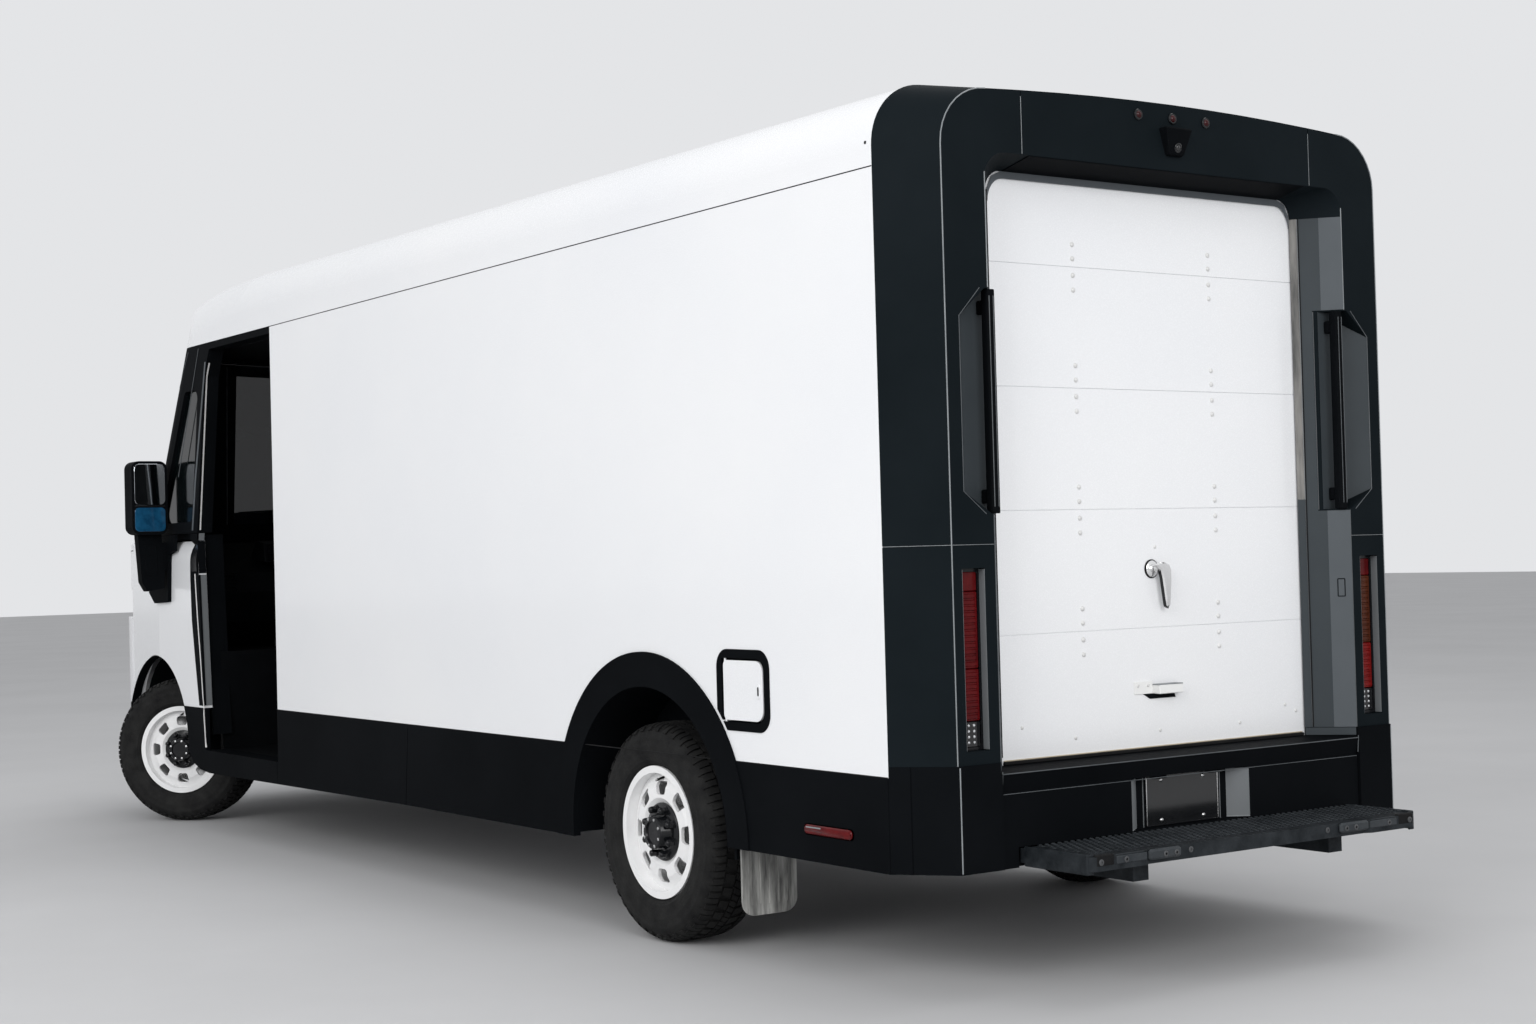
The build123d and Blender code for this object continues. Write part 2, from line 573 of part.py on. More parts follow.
DOOR_BASE = 638
SHELF_Z = 630                 # rear edge of the sloping shelf under the door
CREASE_Z = 572                # down to here the middle of the bumper leans in
PLATE_Z = 498
PLATE_BACK = BUMPER_REAR + 52
STEP_HALF = HALF_WIDTH - 354
STEP_TOP = 415
STEP_DEEP = 40
PLATE_BOLTS = (177.8, 120.7)
PLATE_BOLT_R = 3.5


def plate_holes():
    """Four bolt holes through the plate and into the bumper behind it."""
    holes = None
    for y in (-PLATE_BOLTS[0] / 2, PLATE_BOLTS[0] / 2):
        for z in (PLATE_Z - PLATE_BOLTS[1] / 2, PLATE_Z + PLATE_BOLTS[1] / 2):
            hole = Pos(PLATE_BACK, y, z) * Rot(Y=90) * Cylinder(PLATE_BOLT_R, 40)
            holes = hole if holes is None else holes + hole
    return holes


def rear_bumper():
    """Lower part of the tail: the doorway's foot with its shelf, the plate's splayed recess and the step's slot."""
    behind = BUMPER_REAR - 10
    low = SKIRT_Z[0]
    corner = PORTAL_HALF - 2
    plan = [(BUMPER_REAR, -corner), (PORTAL_SEAT, -HALF_WIDTH), (PORTAL_SEAT, HALF_WIDTH), (BUMPER_REAR, corner)]
    bumper = plan_prism(plan, low, BUMPER_TOP - GAP)
    splay = (JAMB_HALF - DOOR_HALF) / (DOOR_BACK - FRAME_REAR)
    mouth = DOOR_HALF + (DOOR_BACK - behind) * splay
    doorway = plan_prism([(behind, -mouth), (DOOR_BACK, -DOOR_HALF), (DOOR_BACK, DOOR_HALF), (behind, mouth)],
                         CREASE_Z, BUMPER_TOP + 1)
    bumper -= doorway & side_prism([(behind, SHELF_Z), (DOOR_BACK, DOOR_BASE), (DOOR_BACK, BUMPER_TOP + 10),
                                    (behind, BUMPER_TOP + 10)], *FULL)
    bumper -= block(DOOR_BACK - 0.2, PORTAL_SEAT + 10, -DOOR_HALF - 60, DOOR_HALF + 60, DOOR_BASE - GAP, BUMPER_TOP)
    bumper -= side_prism([(behind, SHELF_Z + 4), (BUMPER_REAR, SHELF_Z + 4), (BUMPER_REAR + 14, CREASE_Z + 4),
                          (BUMPER_REAR + 8, CREASE_Z), (BUMPER_REAR + 8, low - 1), (behind, low - 1)],
                         -JAMB_HALF, JAMB_HALF)
    bumper -= loft([Plane.YZ.offset(BUMPER_REAR - 1) * Pos(0, PLATE_Z - 1) * Rectangle(526, 158),
                    Plane.YZ.offset(PLATE_BACK) * Pos(0, PLATE_Z - 1) * Rectangle(388, 158)], ruled=True)
    bumper -= block(behind, BUMPER_REAR + 30, -STEP_HALF - 12, STEP_HALF + 12, low - 1, STEP_TOP + 5)
    for notch in both(block(behind, PORTAL_SEAT + 10, RAIL_IN - CLEAR, RAIL_OUT + CLEAR, low - 1,
                            STEP_TOP - STEP_DEEP + CLEAR)):
        bumper -= notch
    seam_x = PORTAL_SEAT - 48
    seam_y = HALF_WIDTH - 48 * (HALF_WIDTH - corner) / (PORTAL_SEAT - BUMPER_REAR)
    for seam in (both(block(behind, BUMPER_REAR + 14 + SEAM_DEEP, JAMB_HALF - SEAM, JAMB_HALF, low - 1, BUMPER_TOP))
                 + both(block(seam_x - SEAM, seam_x, seam_y - SEAM_DEEP, BEYOND, low - 1, BUMPER_TOP))):
        bumper -= seam
    return bumper - plate_holes()


def rear_step():
    """Step plate on two arms from the frame."""
    tip = -REAR_OVERHANG
    front = BUMPER_REAR + 16
    ear = STEP_HALF - 210
    outline = [(front, -STEP_HALF), (tip + 14, -STEP_HALF), (tip, -STEP_HALF + 20), (tip, -ear),
               (tip + 12, -ear + 20), (tip + 12, ear - 20), (tip, ear), (tip, STEP_HALF - 20),
               (tip + 14, STEP_HALF), (front, STEP_HALF)]
    step = plan_prism(outline, STEP_TOP - STEP_DEEP, STEP_TOP)
    for arm in both(block(-REAR_OVERHANG + 90, -1200, RAIL_IN, RAIL_OUT, STEP_TOP - STEP_DEEP - 60,
                          STEP_TOP - STEP_DEEP)):
        step += arm
    for riser in both(block(-1265, -1200, RAIL_IN, RAIL_OUT, STEP_TOP - STEP_DEEP - 60, RAIL_LOW - GAP)):
        step += riser
    return step


PANELS = 5
PANEL_PITCH = 364
PANEL_GROOVE = 3              # width and depth


def rear_door():
    """Roll-up door, down: flat sections with a groove at each joint."""
    door = block(DOOR_PLANE, DOOR_PLANE + 32, -DOOR_HALF - 55, DOOR_HALF + 55, DOOR_BASE, DOOR_TOP + 30)
    for number in range(1, PANELS):
        z = DOOR_TOP + 97 - number * PANEL_PITCH
        door -= block(DOOR_PLANE - 1, DOOR_PLANE + PANEL_GROOVE, -DOOR_HALF - 60, DOOR_HALF + 60,
                      z - PANEL_GROOVE / 2, z + PANEL_GROOVE / 2)
    return door


def grab_handle():
    """Upright bar that bridges the recess at the jamb's corner, on two stubs from the recess's back."""
    x = FRAME_REAR + 24
    y = GRIP_Y[0] + 46
    low, high = GRIP_Z
    half = GRIP_BAR / 2
    bar = block(x - half, x + half - 4, y - half, y + half, low + GAP, high - GAP)
    bar = fillet(bar.edges().filter_by(Axis.Z), 12)
    for z in (low + 50, high - 50):
        bar += block(x, FRAME_REAR + GRIP_DEEP - GAP, y - 12, y + 12, z - 20, z + 20)
    return bar


IDENT_Y = (-143, 0, 143)
IDENT_Z = RAIL_Z + 199
IDENT_R = 17
CAMERA_Z = (RAIL_Z + 84, RAIL_Z + 167)
CAMERA_HALF = (32, 56)        # at its foot and its top


def roof_lamps():
    """Three round marker lamps and the tapered camera housing on the portal's top beam."""
    seat = FRAME_REAR - GAP
    lamps = [Pos(seat - 6, y, IDENT_Z) * Rot(Y=90) * Cylinder(IDENT_R, 12) for y in IDENT_Y]
    low, high = CAMERA_HALF
    housing = loft([Plane.XY.offset(CAMERA_Z[0]) * Pos(seat - 9, 0) * Rectangle(18, 2 * low),
                    Plane.XY.offset(CAMERA_Z[1]) * Pos(seat - 17, 0) * Rectangle(34, 2 * high)], ruled=True)
    return lamps + [housing]


save("rear_frame", rear_frame())
save("rear_bumper", rear_bumper())
save("rear_door", rear_door())
save("rear_step", rear_step())
save("grab_handles", *both(grab_handle()))
save("roof_lamps", *roof_lamps())
save("tail_lamps", *both(block(FRAME_REAR + LAMP_SUNK, FRAME_REAR + LAMP_DEEP - GAP, LAMP_Y[0] + LAMP_RIM,
                               LAMP_Y[1] - LAMP_RIM, LAMP_Z[0] + LAMP_RIM, LAMP_Z[1] - LAMP_RIM)))
save("number_plate",
     block(PLATE_BACK - 3, PLATE_BACK - GAP, -152.5, 152.5, PLATE_Z - 76, PLATE_Z + 76) - plate_holes())
save("side_markers", *both(block(-1132, -888, HALF_WIDTH + 3 + GAP, HALF_WIDTH + 9, 439, 474)))

# ---- Cab doors ----
LATCH_Z = BELT_Z - 35         # where the opening reaches furthest forward


def opening_outline(inset):
    """Side view of the cab's door opening, or of the door when inset."""
    return [(OPENING_REAR + inset, SILL_TOP + inset), (DOOR_FOOT_X - inset, SILL_TOP + inset),
            (DOOR_FOOT_X + 20 - inset, FENDER_LOW), (LATCH_X - inset, LATCH_Z), (LATCH_X - 142 - inset, RAIL_Z - 158),
            (LATCH_X - 217 - inset, OPENING_TOP - inset), (OPENING_REAR + inset, OPENING_TOP - inset)]


DOOR_Y = (HALF_WIDTH - SKIN - CLEAR - DOOR_THICK, HALF_WIDTH - SKIN - CLEAR)
WINDOW_X = (OPENING_REAR + 144, DOOR_FOOT_X - 27)
WINDOW_Z = (BELT_Z - 120, RAIL_Z - 178)


def door_panel():
    """Left cab door where it closes the opening: framed, with its window cut and two runners on the sill."""
    panel = side_prism(opening_outline(CLEAR), *DOOR_Y)
    panel -= window_solid(0, 100)
    for x in (OPENING_REAR + 120, DOOR_FOOT_X - 200):
        panel += block(x, x + 70, DOOR_Y[0] + 12, DOOR_Y[1] - 12, SILL_TOP + GAP, SILL_TOP + CLEAR + 2)
    return panel


def window_solid(inset, thick):
    points = [(WINDOW_X[0], WINDOW_Z[0]), (WINDOW_X[1], WINDOW_Z[0]), (WINDOW_X[1], BELT_Z),
              (WINDOW_X[1] - 140, WINDOW_Z[1]), (WINDOW_X[0], WINDOW_Z[1])]
    mid = (DOOR_Y[0] + DOOR_Y[1]) / 2
    solid = side_prism(points, mid - thick / 2, mid + thick / 2)
    solid = fillet(solid.edges().filter_by(Axis.Y), 60)
    if not inset:
        return solid
    return solid & block(WINDOW_X[0] + inset, WINDOW_X[1] - inset, *FULL, WINDOW_Z[0] + inset, WINDOW_Z[1] - inset)


door = door_panel()
glass = window_solid(GAP, 8)
save("door_left", Pos(-TRAVEL, 0, 0) * door)
save("door_glass_left", Pos(-TRAVEL, 0, 0) * glass)
save("door_right", mirror(door, about=Plane.XZ))
save("door_glass_right", mirror(glass, about=Plane.XZ))

# ---- Front end ----
def nose_plan(nose, half, z0, z1, corner=190):
    """Plan of the front end, bowed across, raised from z0 to z1."""
    front = half - 50
    back = nose - FACE_BOW_R + sqrt(FACE_BOW_R ** 2 - front ** 2)
    side = WHEELBASE - 50
    rear = CAB_FRONT - 330
    plan = make_face([
        Line((rear, -half), (side, -half)),
        Line((side, -half), (back, -front)),
        ThreePointArc((back, -front), (nose, 0), (back, front)),
        Line((back, front), (side, half)),
        Line((side, half), (rear, half)),
        Line((rear, half), (rear, -half)),
    ])
    plan = fillet(plan.vertices().group_by(Axis.X)[-1], corner)
    return extrude(Pos(0, 0, z0) * plan, amount=z1 - z0, dir=(0, 0, 1))


def nose_shell(nose, skin, z0, z1, half=HALF_WIDTH, corner=190):
    return nose_plan(nose, half, z0, z1, corner) - nose_plan(nose - skin, half - skin, z0 - 1, z1 + 1, corner - skin)


SCREEN_HALF = HALF_WIDTH - 140
SCREEN_LOW = BELT_Z + 55
SCREEN_TOP = RAIL_Z - 48
FRAME_SKIN = 75
GLASS = 12
HINGE_X = HOOD_REAR - 20
HINGE_Z = BELT_Z - 16
HINGE_PIN_R = 8
LUG_Y = (600, 630)
LAMP_BAND = (BAND_BOTTOM + 22, BAND_TOP - 26)
HEAD_Y = (HALF_WIDTH - 448, HALF_WIDTH - 178)
BAND_HALF = HALF_WIDTH - 45   # the band stands in at the sides too
BAND_NOSE = FACE_X - 120
BAND_REAR = WHEELBASE + 470
BAND_SKIN = 60
ARCH_CUT = rod_y(FRONT_ARCH_X, TYRE_R, FRONT_ARCH_R, *FULL)
BROW_R = 150                  # shoulder radius of the hood and fenders
FENDER_SLIT = FENDER_FRONT - 20  # seam between fender and bumper


def brow(shrink):
    """Rounded cross-section that the hood and the fender tops share."""
    section = body_section(CAB_FRONT - 330, HALF_WIDTH - shrink, FENDER_LOW - 100, BELT_Z - 4 - shrink,
                           BROW_R - shrink, 48)
    return extrude(section, amount=FRONT_OVERHANG + 1100, dir=(1, 0, 0))


def fender():
    """Left front panel, from the door opening to the face, open over the wheel."""
    outline = [(DOOR_FOOT_X + 20 + GAP, FENDER_LOW), (LATCH_X + GAP, LATCH_Z), (LATCH_X - 2, BELT_Z - GAP),
               (HOOD_EDGE, BELT_Z - GAP), (HOOD_EDGE, HOOD_SIDE_Z), (FENDER_FRONT, HOOD_SIDE_Z),
               (FENDER_FRONT, BAND_TOP), (BAND_REAR - GAP, BAND_TOP), (BAND_REAR - GAP, BAND_BOTTOM),
               (FENDER_SLIT, BAND_BOTTOM), (FENDER_SLIT, FENDER_LOW)]
    skin = nose_shell(FACE_X, FENDER_SKIN, FENDER_LOW - 50, BELT_Z + 20)
    return (skin & side_prism(outline, HALF_WIDTH / 2, BEYOND)) - ARCH_CUT


def hood_outline(skin):
    return [(HOOD_REAR, BELT_Z + 42 - skin), (FACE_X - 230, BELT_Z + 30 - skin), (FACE_X - 90, BELT_Z - 8 - skin),
            (FACE_X - 20, BELT_Z - 62 - skin * 0.7), (FACE_X + 30, BELT_Z - 160)]


def hood():
    """Lid over the front end: top, brow and front lip, with two hinge lugs and their pins."""
    front = FACE_X + 30
    low = BAND_TOP + CLEAR
    side_x = FENDER_FRONT + 2 * CLEAR
    crest = hood_outline(0)
    top = Spline([(x, -BEYOND, z) for x, z in crest], tangents=[(1, 0, -0.04), (0.35, 0, -1)])
    rest = [crest[-1], (front, low), (side_x, low), (side_x, HOOD_SIDE_Z + CLEAR),
            (HOOD_REAR, HOOD_SIDE_Z + CLEAR), crest[0]]
    solid = extrude(make_face([top, Polyline([(x, -BEYOND, z) for x, z in rest])]), amount=2 * BEYOND, dir=(0, 1, 0))
    solid = solid & nose_plan(FACE_X, HALF_WIDTH, BAND_TOP - 70, BELT_Z + 150) & brow(0)
    under = hood_outline(HOOD_SKIN)
    rear = HOOD_REAR - 5
    deep = BAND_TOP - 170
    hollow = [(rear, under[0][1])] + under[1:] + [(front, deep), (rear, deep)]
    inner = side_prism(hollow, *FULL) & brow(HOOD_SKIN)
    inner &= nose_plan(FACE_X - HOOD_SKIN, HALF_WIDTH - HOOD_SKIN, deep - 100, BELT_Z + 150, 150)
    lid = solid - inner
    for lug in both(block(HINGE_X - 12, HOOD_REAR + 40, *LUG_Y, HINGE_Z - 12, HINGE_Z + 24)):
        lid += lug
    for pin in both(rod_y(HINGE_X, HINGE_Z, HINGE_PIN_R, LUG_Y[0] - CLEAR - 12, LUG_Y[1] + CLEAR + 12)):
        lid += pin
    return lid


def cowl():
    """Deck between the windscreen, the hood and the fenders, with the hood's hinge bores and the firewall below."""
    inset = FENDER_SKIN + GAP
    deck = nose_plan(FACE_X - inset, HALF_WIDTH - inset, BELT_Z - 30, BELT_Z - GAP, 190 - inset)
    deck &= block(CAB_FRONT + 170, HOOD_EDGE, *FULL, 0, 2 * BELT_Z)
    deck -= raked(SCREEN_BASE_X - FRAME_SKIN - 40, HALF_WIDTH - FRAME_SKIN - 40, CAB_CORNER - 100, BELT_Z - 40, BELT_Z + 1)
    deck += block(FIREWALL_X + GAP, FIREWALL_X + 20, -INNER_Y, INNER_Y, LINER_DECK, BELT_Z - 25)
    deck += block(FIREWALL_X + GAP, FIREWALL_X + 20, -STEP_IN, STEP_IN, RAIL_TOP + GAP, LINER_DECK + 1)
    for notch in both(block(HINGE_X - 26, HOOD_REAR, LUG_Y[0] - CLEAR, LUG_Y[1] + CLEAR, BELT_Z - 40, BELT_Z + 10)):
        deck -= notch
    for bore in both(rod_y(HINGE_X, HINGE_Z, HINGE_PIN_R + FIT, LUG_Y[0] - CLEAR - 14, LUG_Y[1] + CLEAR + 14)):
        deck -= bore
    return deck


def headlamps():
    """Left lamp and its twin, set in the dark band."""
    glass = nose_shell(BAND_NOSE + 6, BAND_SKIN, *LAMP_BAND, BAND_HALF, 240)
    return [glass & block(BAND_REAR, TIP_FRONT, *HEAD_Y, 0, 2 * BELT_Z),
            glass & block(BAND_REAR, TIP_FRONT, -HEAD_Y[1], -HEAD_Y[0], 0, 2 * BELT_Z)]


def front_face():
    """The dark band across the face that holds the lamps."""
    band = nose_shell(BAND_NOSE, BAND_SKIN, BAND_BOTTOM + GAP, BAND_TOP, BAND_HALF, 240)
    band &= block(BAND_REAR, TIP_FRONT, *FULL, 0, 2 * BELT_Z)
    inside = nose_plan(FACE_X - 6, HALF_WIDTH - 6, BAND_BOTTOM + GAP, BAND_TOP, 184)
    for end in both(block(BAND_REAR, BAND_REAR + 20, HEAD_Y[1] - 40, HALF_WIDTH, BAND_BOTTOM + GAP, BAND_TOP)):
        band += end & inside
    for pocket in both(block(BAND_REAR - 1, TIP_FRONT, HEAD_Y[0] - GAP, HEAD_Y[1] + GAP, LAMP_BAND[0] - GAP,
                             LAMP_BAND[1] + GAP)):
        band -= pocket
    return band


def front_bumper():
    """Painted bumper: a deep band with a sloping top shelf that reaches in under the dark band."""
    rear = FENDER_SLIT + 1
    outline = [(rear, BUMPER_LOW), (TIP_FRONT + 20, BUMPER_LOW), (TIP_FRONT + 20, 960), (TIP_FRONT - 40, 990),
               (TIP_FRONT - 270, BAND_BOTTOM), (rear, BAND_BOTTOM)]
    return (nose_shell(TIP_FRONT, 230, BUMPER_LOW, BAND_BOTTOM, HALF_WIDTH, 250) & side_prism(outline, *FULL)) - ARCH_CUT


def front_valance():
    """Dark lower edge under the bumper."""
    shell = nose_shell(TIP_FRONT - 30, 70, SKIRT_Z[2], BUMPER_LOW - GAP)
    shell &= block(FENDER_SLIT - 5, TIP_FRONT, *FULL, 0, BUMPER_LOW)
    return shell - ARCH_CUT - rod_y(FRONT_ARCH_X, TYRE_R, FRONT_ARCH_R + LINER + GAP, -LINER_OUT - GAP, LINER_OUT + GAP)


save("front_fenders", *both(fender() & brow(0)))
save("hood", hood())
save("cowl", cowl())
save("headlamps", *headlamps())
save("front_face", front_face())
save("front_bumper", front_bumper())
save("front_valance", front_valance())

# ---- Windscreen, its frame and the quarter windows ----
DOOR_LINE = (LATCH_X - 142, RAIL_Z - 158)  # the door opening's upper front corner
QUARTER_Z = (BELT_Z + 55, RAIL_Z - 215)


def screen_aperture(inset):
    middle = (SCREEN_LOW + SCREEN_TOP) / 2
    outline = Pos(0, middle) * Rectangle(2 * (SCREEN_HALF - inset), SCREEN_TOP - SCREEN_LOW - 2 * inset)
    return extrude(Plane.YZ.offset(CAB_FRONT + 60) * fillet(outline.vertices(), 90), amount=FRONT_OVERHANG + 300,
                   dir=(1, 0, 0))


def quarter_outline(inset):
    """Side view of the fixed window between the door and the pillar."""
    low, high = QUARTER_Z
    lean = (high - low) * RAKE_X / RAKE_Z
    rear_lean = (high - low) * (LATCH_X - DOOR_LINE[0]) / (DOOR_LINE[1] - LATCH_Z)
    rear = LATCH_X + 60
    front = SCREEN_BASE_X - 490
    return [(rear + inset, low + inset), (front - 2 * inset, low + inset), (front - lean - inset, high - inset),
            (rear - rear_lean + inset, high - inset)]


def windscreen_frame():
    """Front pillars and header in one, round the windscreen and ahead of the door openings."""
    shell = raked(SCREEN_BASE_X, HALF_WIDTH, CAB_CORNER, BELT_Z, RAIL_Z - GAP)
    shell -= raked(SCREEN_BASE_X - FRAME_SKIN, HALF_WIDTH - FRAME_SKIN, CAB_CORNER - FRAME_SKIN, BELT_Z - 1, RAIL_Z + 1)
    far = WHEELBASE / 3
    rear = [(LATCH_X - 600, BELT_Z - 5), (LATCH_X - 6 + GAP, BELT_Z - 5), DOOR_LINE, (LATCH_X - 217, OPENING_TOP),
            (OPENING_REAR + GAP, OPENING_TOP), (OPENING_REAR + GAP, RAIL_Z + 5), (far, RAIL_Z + 5), (far, BELT_Z - 5)]
    shell -= side_prism(rear, *FULL)
    window = side_prism(quarter_outline(0), *FULL)
    return shell - screen_aperture(0) - fillet(window.edges().filter_by(Axis.Y), 45)


def quarter_glass():
    pane = side_prism(quarter_outline(GAP), HALF_WIDTH - 24, HALF_WIDTH - 18)
    return fillet(pane.edges().filter_by(Axis.Y), 45)


def windscreen():
    """A bowed sheet that leans back with the frame."""
    nose = SCREEN_BASE_X - 6 - (BELT_Z - SCREEN_BASE_Z) * RAKE_X / RAKE_Z
    half = SCREEN_HALF + 10

    def bow(radius):
        reach = sqrt(radius ** 2 - half ** 2)
        centre = nose - SCREEN_BOW_R
        return ThreePointArc((centre + reach, -half), (centre + radius, 0), (centre + reach, half))

    outer = bow(SCREEN_BOW_R)
    inner = bow(SCREEN_BOW_R - GLASS)
    plan = make_face([outer, inner, Line(outer @ 0, inner @ 0), Line(outer @ 1, inner @ 1)])
    length = (RAIL_Z - BELT_Z) / RAKE_Z * sqrt(RAKE_X ** 2 + RAKE_Z ** 2)
    sheet = extrude(Pos(0, 0, BELT_Z) * plan, amount=length, dir=(-RAKE_X, 0, RAKE_Z))
    return sheet & screen_aperture(GAP)


save("windscreen_frame", windscreen_frame())
save("quarter_glass", *both(quarter_glass()))
save("windscreen", windscreen())

# ---- Cab inside ----
WHEEL_AT = (WHEELBASE - 700, 420, BELT_Z - 220)
COLUMN_LENGTH = 480
COLUMN_TILT = 25              # of the column below level
STEERING_R = 200
DASH_HALF = HALF_WIDTH - 113


def column_plane():
    """Origin at the steering wheel's hub, its normal along the column towards the driver."""
    tilt = radians(COLUMN_TILT)
    return Plane(origin=WHEEL_AT, x_dir=(0, 1, 0), z_dir=(-cos(tilt), 0, sin(tilt)))


def dashboard():
    """Dashboard across the cab, with the steering column and the shaft that the wheel turns on."""
    outline = [(FIREWALL_X - GAP, 960), (FIREWALL_X - 400, 900), (FIREWALL_X - 560, 1000), (FIREWALL_X - 640, 1150),
               (FIREWALL_X - 600, 1250), (FIREWALL_X - 440, 1310), (FIREWALL_X - 240, 1400), (FIREWALL_X - GAP, 1415)]
    dash = side_prism(outline, -DASH_HALF, DASH_HALF)
    column = Pos(0, 0, -26 - COLUMN_LENGTH / 2) * Cylinder(30, COLUMN_LENGTH) + Pos(0, 0, -10) * Cylinder(12, 40)
    return dash + column_plane() * column


def steering_wheel():
    rim_ring = Torus(STEERING_R, 15)
    hub = Cylinder(48, 36)
    wheel = rim_ring + hub
    for turn in (0, 90, 180):
        wheel += Rot(Z=turn) * Pos(STEERING_R / 2 + 10, 0, 0) * Box(STEERING_R - 25, 34, 14)
    return column_plane() * (wheel - Pos(0, 0, -8) * Cylinder(12 + FIT, 40))


SEAT_Y = 350
SEAT_HALF = 235
CUSHION = (WHEELBASE - 1330, WHEELBASE - 850)
CUSHION_Z = (FLOOR_Z + 332, FLOOR_Z + 447)
SEAT_TUCK = 8.4               # the rounded edges let the back sit in over the cushion


def seat_base():
    return block(CUSHION[0] + 60, CUSHION[1] - 80, SEAT_Y - 150, SEAT_Y + 150, FLOOR_Z + GAP, CUSHION_Z[0] - GAP)


def seat_cushion():
    pad = block(*CUSHION, SEAT_Y - SEAT_HALF, SEAT_Y + SEAT_HALF, *CUSHION_Z)
    return fillet(pad.edges(), 35)


def seat_back():
    pad = block(-130, 0, SEAT_Y - SEAT_HALF, SEAT_Y + SEAT_HALF, 0, 640)
    pad = fillet(pad.edges(), 40) + fillet(block(-105, -20, SEAT_Y - 130, SEAT_Y + 130, 620, 860).edges(), 30)
    return Pos(CUSHION[0] + SEAT_TUCK, 0, CUSHION_Z[0] - 10) * Rot(Y=-12) * pad


save("dashboard", dashboard())
save("steering_wheel", steering_wheel())
save("seat_base", seat_base())
save("seat_cushion", seat_cushion())
save("seat_back", seat_back())

# ---- Mirrors ----
MIRROR_X = (WHEELBASE - 285, WHEELBASE - 175)
MIRROR_Y = (HALF_WIDTH + 24, HALF_WIDTH + 204)
MIRROR_Z = (BELT_Z, BELT_Z + 365)
PADDLE_LOW = BELT_Z - 282


def mirror_set():
    """Left mirror: a tall head, a tapered paddle hanging below it, and the black bracket on the fender."""
    head = fillet(block(*MIRROR_X, *MIRROR_Y, *MIRROR_Z).edges().filter_by(Axis.X), 40)
    rear, front = MIRROR_X
    inner, outer = MIRROR_Y
    paddle = make_face(Polyline([(front - 62, inner + 20, MIRROR_Z[0] + 20), (front - 62, outer - 40, MIRROR_Z[0] + 20),
                                 (front - 62, outer - 58, PADDLE_LOW + 46), (front - 62, outer - 84, PADDLE_LOW),
                                 (front - 62, inner + 8, PADDLE_LOW + 14), (front - 62, inner + 4, PADDLE_LOW + 90)],
                                close=True))
    head += extrude(paddle, amount=56, dir=(1, 0, 0))
    seat = HALF_WIDTH + GAP
    plate = side_prism([(rear - 65, BELT_Z - 4), (front + 75, BELT_Z - 4), (front + 215, BELT_Z - 290),
                        (front + 135, BELT_Z - 345), (rear + 45, BELT_Z - 338), (rear + 25, BELT_Z - 100),
                        (rear - 55, BELT_Z - 85)], seat, seat + 18)
    arm = side_prism([(front - 60, BELT_Z - 180), (front + 60, BELT_Z - 180), (front + 20, BELT_Z - 40),
                      (front - 60, BELT_Z - 40)], seat + 10, inner + 60)
    return head + plate + arm


save("mirrors", *both(mirror_set()))
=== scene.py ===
"""Looks of the electric cargo van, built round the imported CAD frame.

The frame is in metres, +X forward, +Y to the van's left, +Z up. Pieces are drawn in millimetres in the axle
frame, whose origin is on the ground under the rear axle, or in a wheel's own frame, and placed by Piece.done().
"""
import json
import math

import bpy
from mathutils import Matrix, Vector


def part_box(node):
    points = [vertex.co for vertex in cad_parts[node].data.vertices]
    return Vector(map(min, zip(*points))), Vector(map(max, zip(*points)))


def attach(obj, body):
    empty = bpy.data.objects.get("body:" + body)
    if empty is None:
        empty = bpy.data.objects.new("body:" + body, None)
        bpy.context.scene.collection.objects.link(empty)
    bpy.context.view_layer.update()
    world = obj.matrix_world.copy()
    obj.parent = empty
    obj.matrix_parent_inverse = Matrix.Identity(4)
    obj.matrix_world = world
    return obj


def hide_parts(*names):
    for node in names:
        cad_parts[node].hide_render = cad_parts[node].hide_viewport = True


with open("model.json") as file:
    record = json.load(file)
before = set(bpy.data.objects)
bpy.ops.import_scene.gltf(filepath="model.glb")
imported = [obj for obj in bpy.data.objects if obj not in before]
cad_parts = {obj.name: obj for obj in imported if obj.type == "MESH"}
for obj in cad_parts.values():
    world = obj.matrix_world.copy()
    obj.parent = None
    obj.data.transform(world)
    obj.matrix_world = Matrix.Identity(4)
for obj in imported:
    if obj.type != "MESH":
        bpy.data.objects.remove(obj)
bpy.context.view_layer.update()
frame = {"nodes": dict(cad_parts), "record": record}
NODES = frame["nodes"]
RECORD = frame["record"]
JOINTS = {joint["name"]: joint for joint in RECORD["behaviour"]["joints"]}
MM = 0.001
ORIGIN = Vector((JOINTS["spin_rear_left"]["pos_m"][0], 0, 0))
AXLE = Matrix.Translation(ORIGIN) @ Matrix.Scale(MM, 4)


def span(node):
    """Lowest and highest corner of a CAD node in the axle frame, millimetres."""
    low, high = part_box(node)
    return (low - ORIGIN) / MM, (high - ORIGIN) / MM


# ---------------------------------------------------------------- pieces
def inset(outline, depth):
    """A closed outline moved inwards by depth, whichever way it turns."""
    area = sum(a[0] * b[1] - b[0] * a[1] for a, b in zip(outline, outline[1:] + outline[:1]))
    hand = 1 if area > 0 else -1
    made = []
    for number, point in enumerate(outline):
        before, after = outline[number - 1], outline[(number + 1) % len(outline)]
        one = Vector((point[0] - before[0], point[1] - before[1])).normalized()
        two = Vector((after[0] - point[0], after[1] - point[1])).normalized()
        side_one, side_two = Vector((-one.y, one.x)) * hand, Vector((-two.y, two.x)) * hand
        middle = side_one + side_two
        reach = depth * 2 / max(middle.length_squared, 0.4)
        made.append((point[0] + middle.x * reach, point[1] + middle.y * reach))
    return made


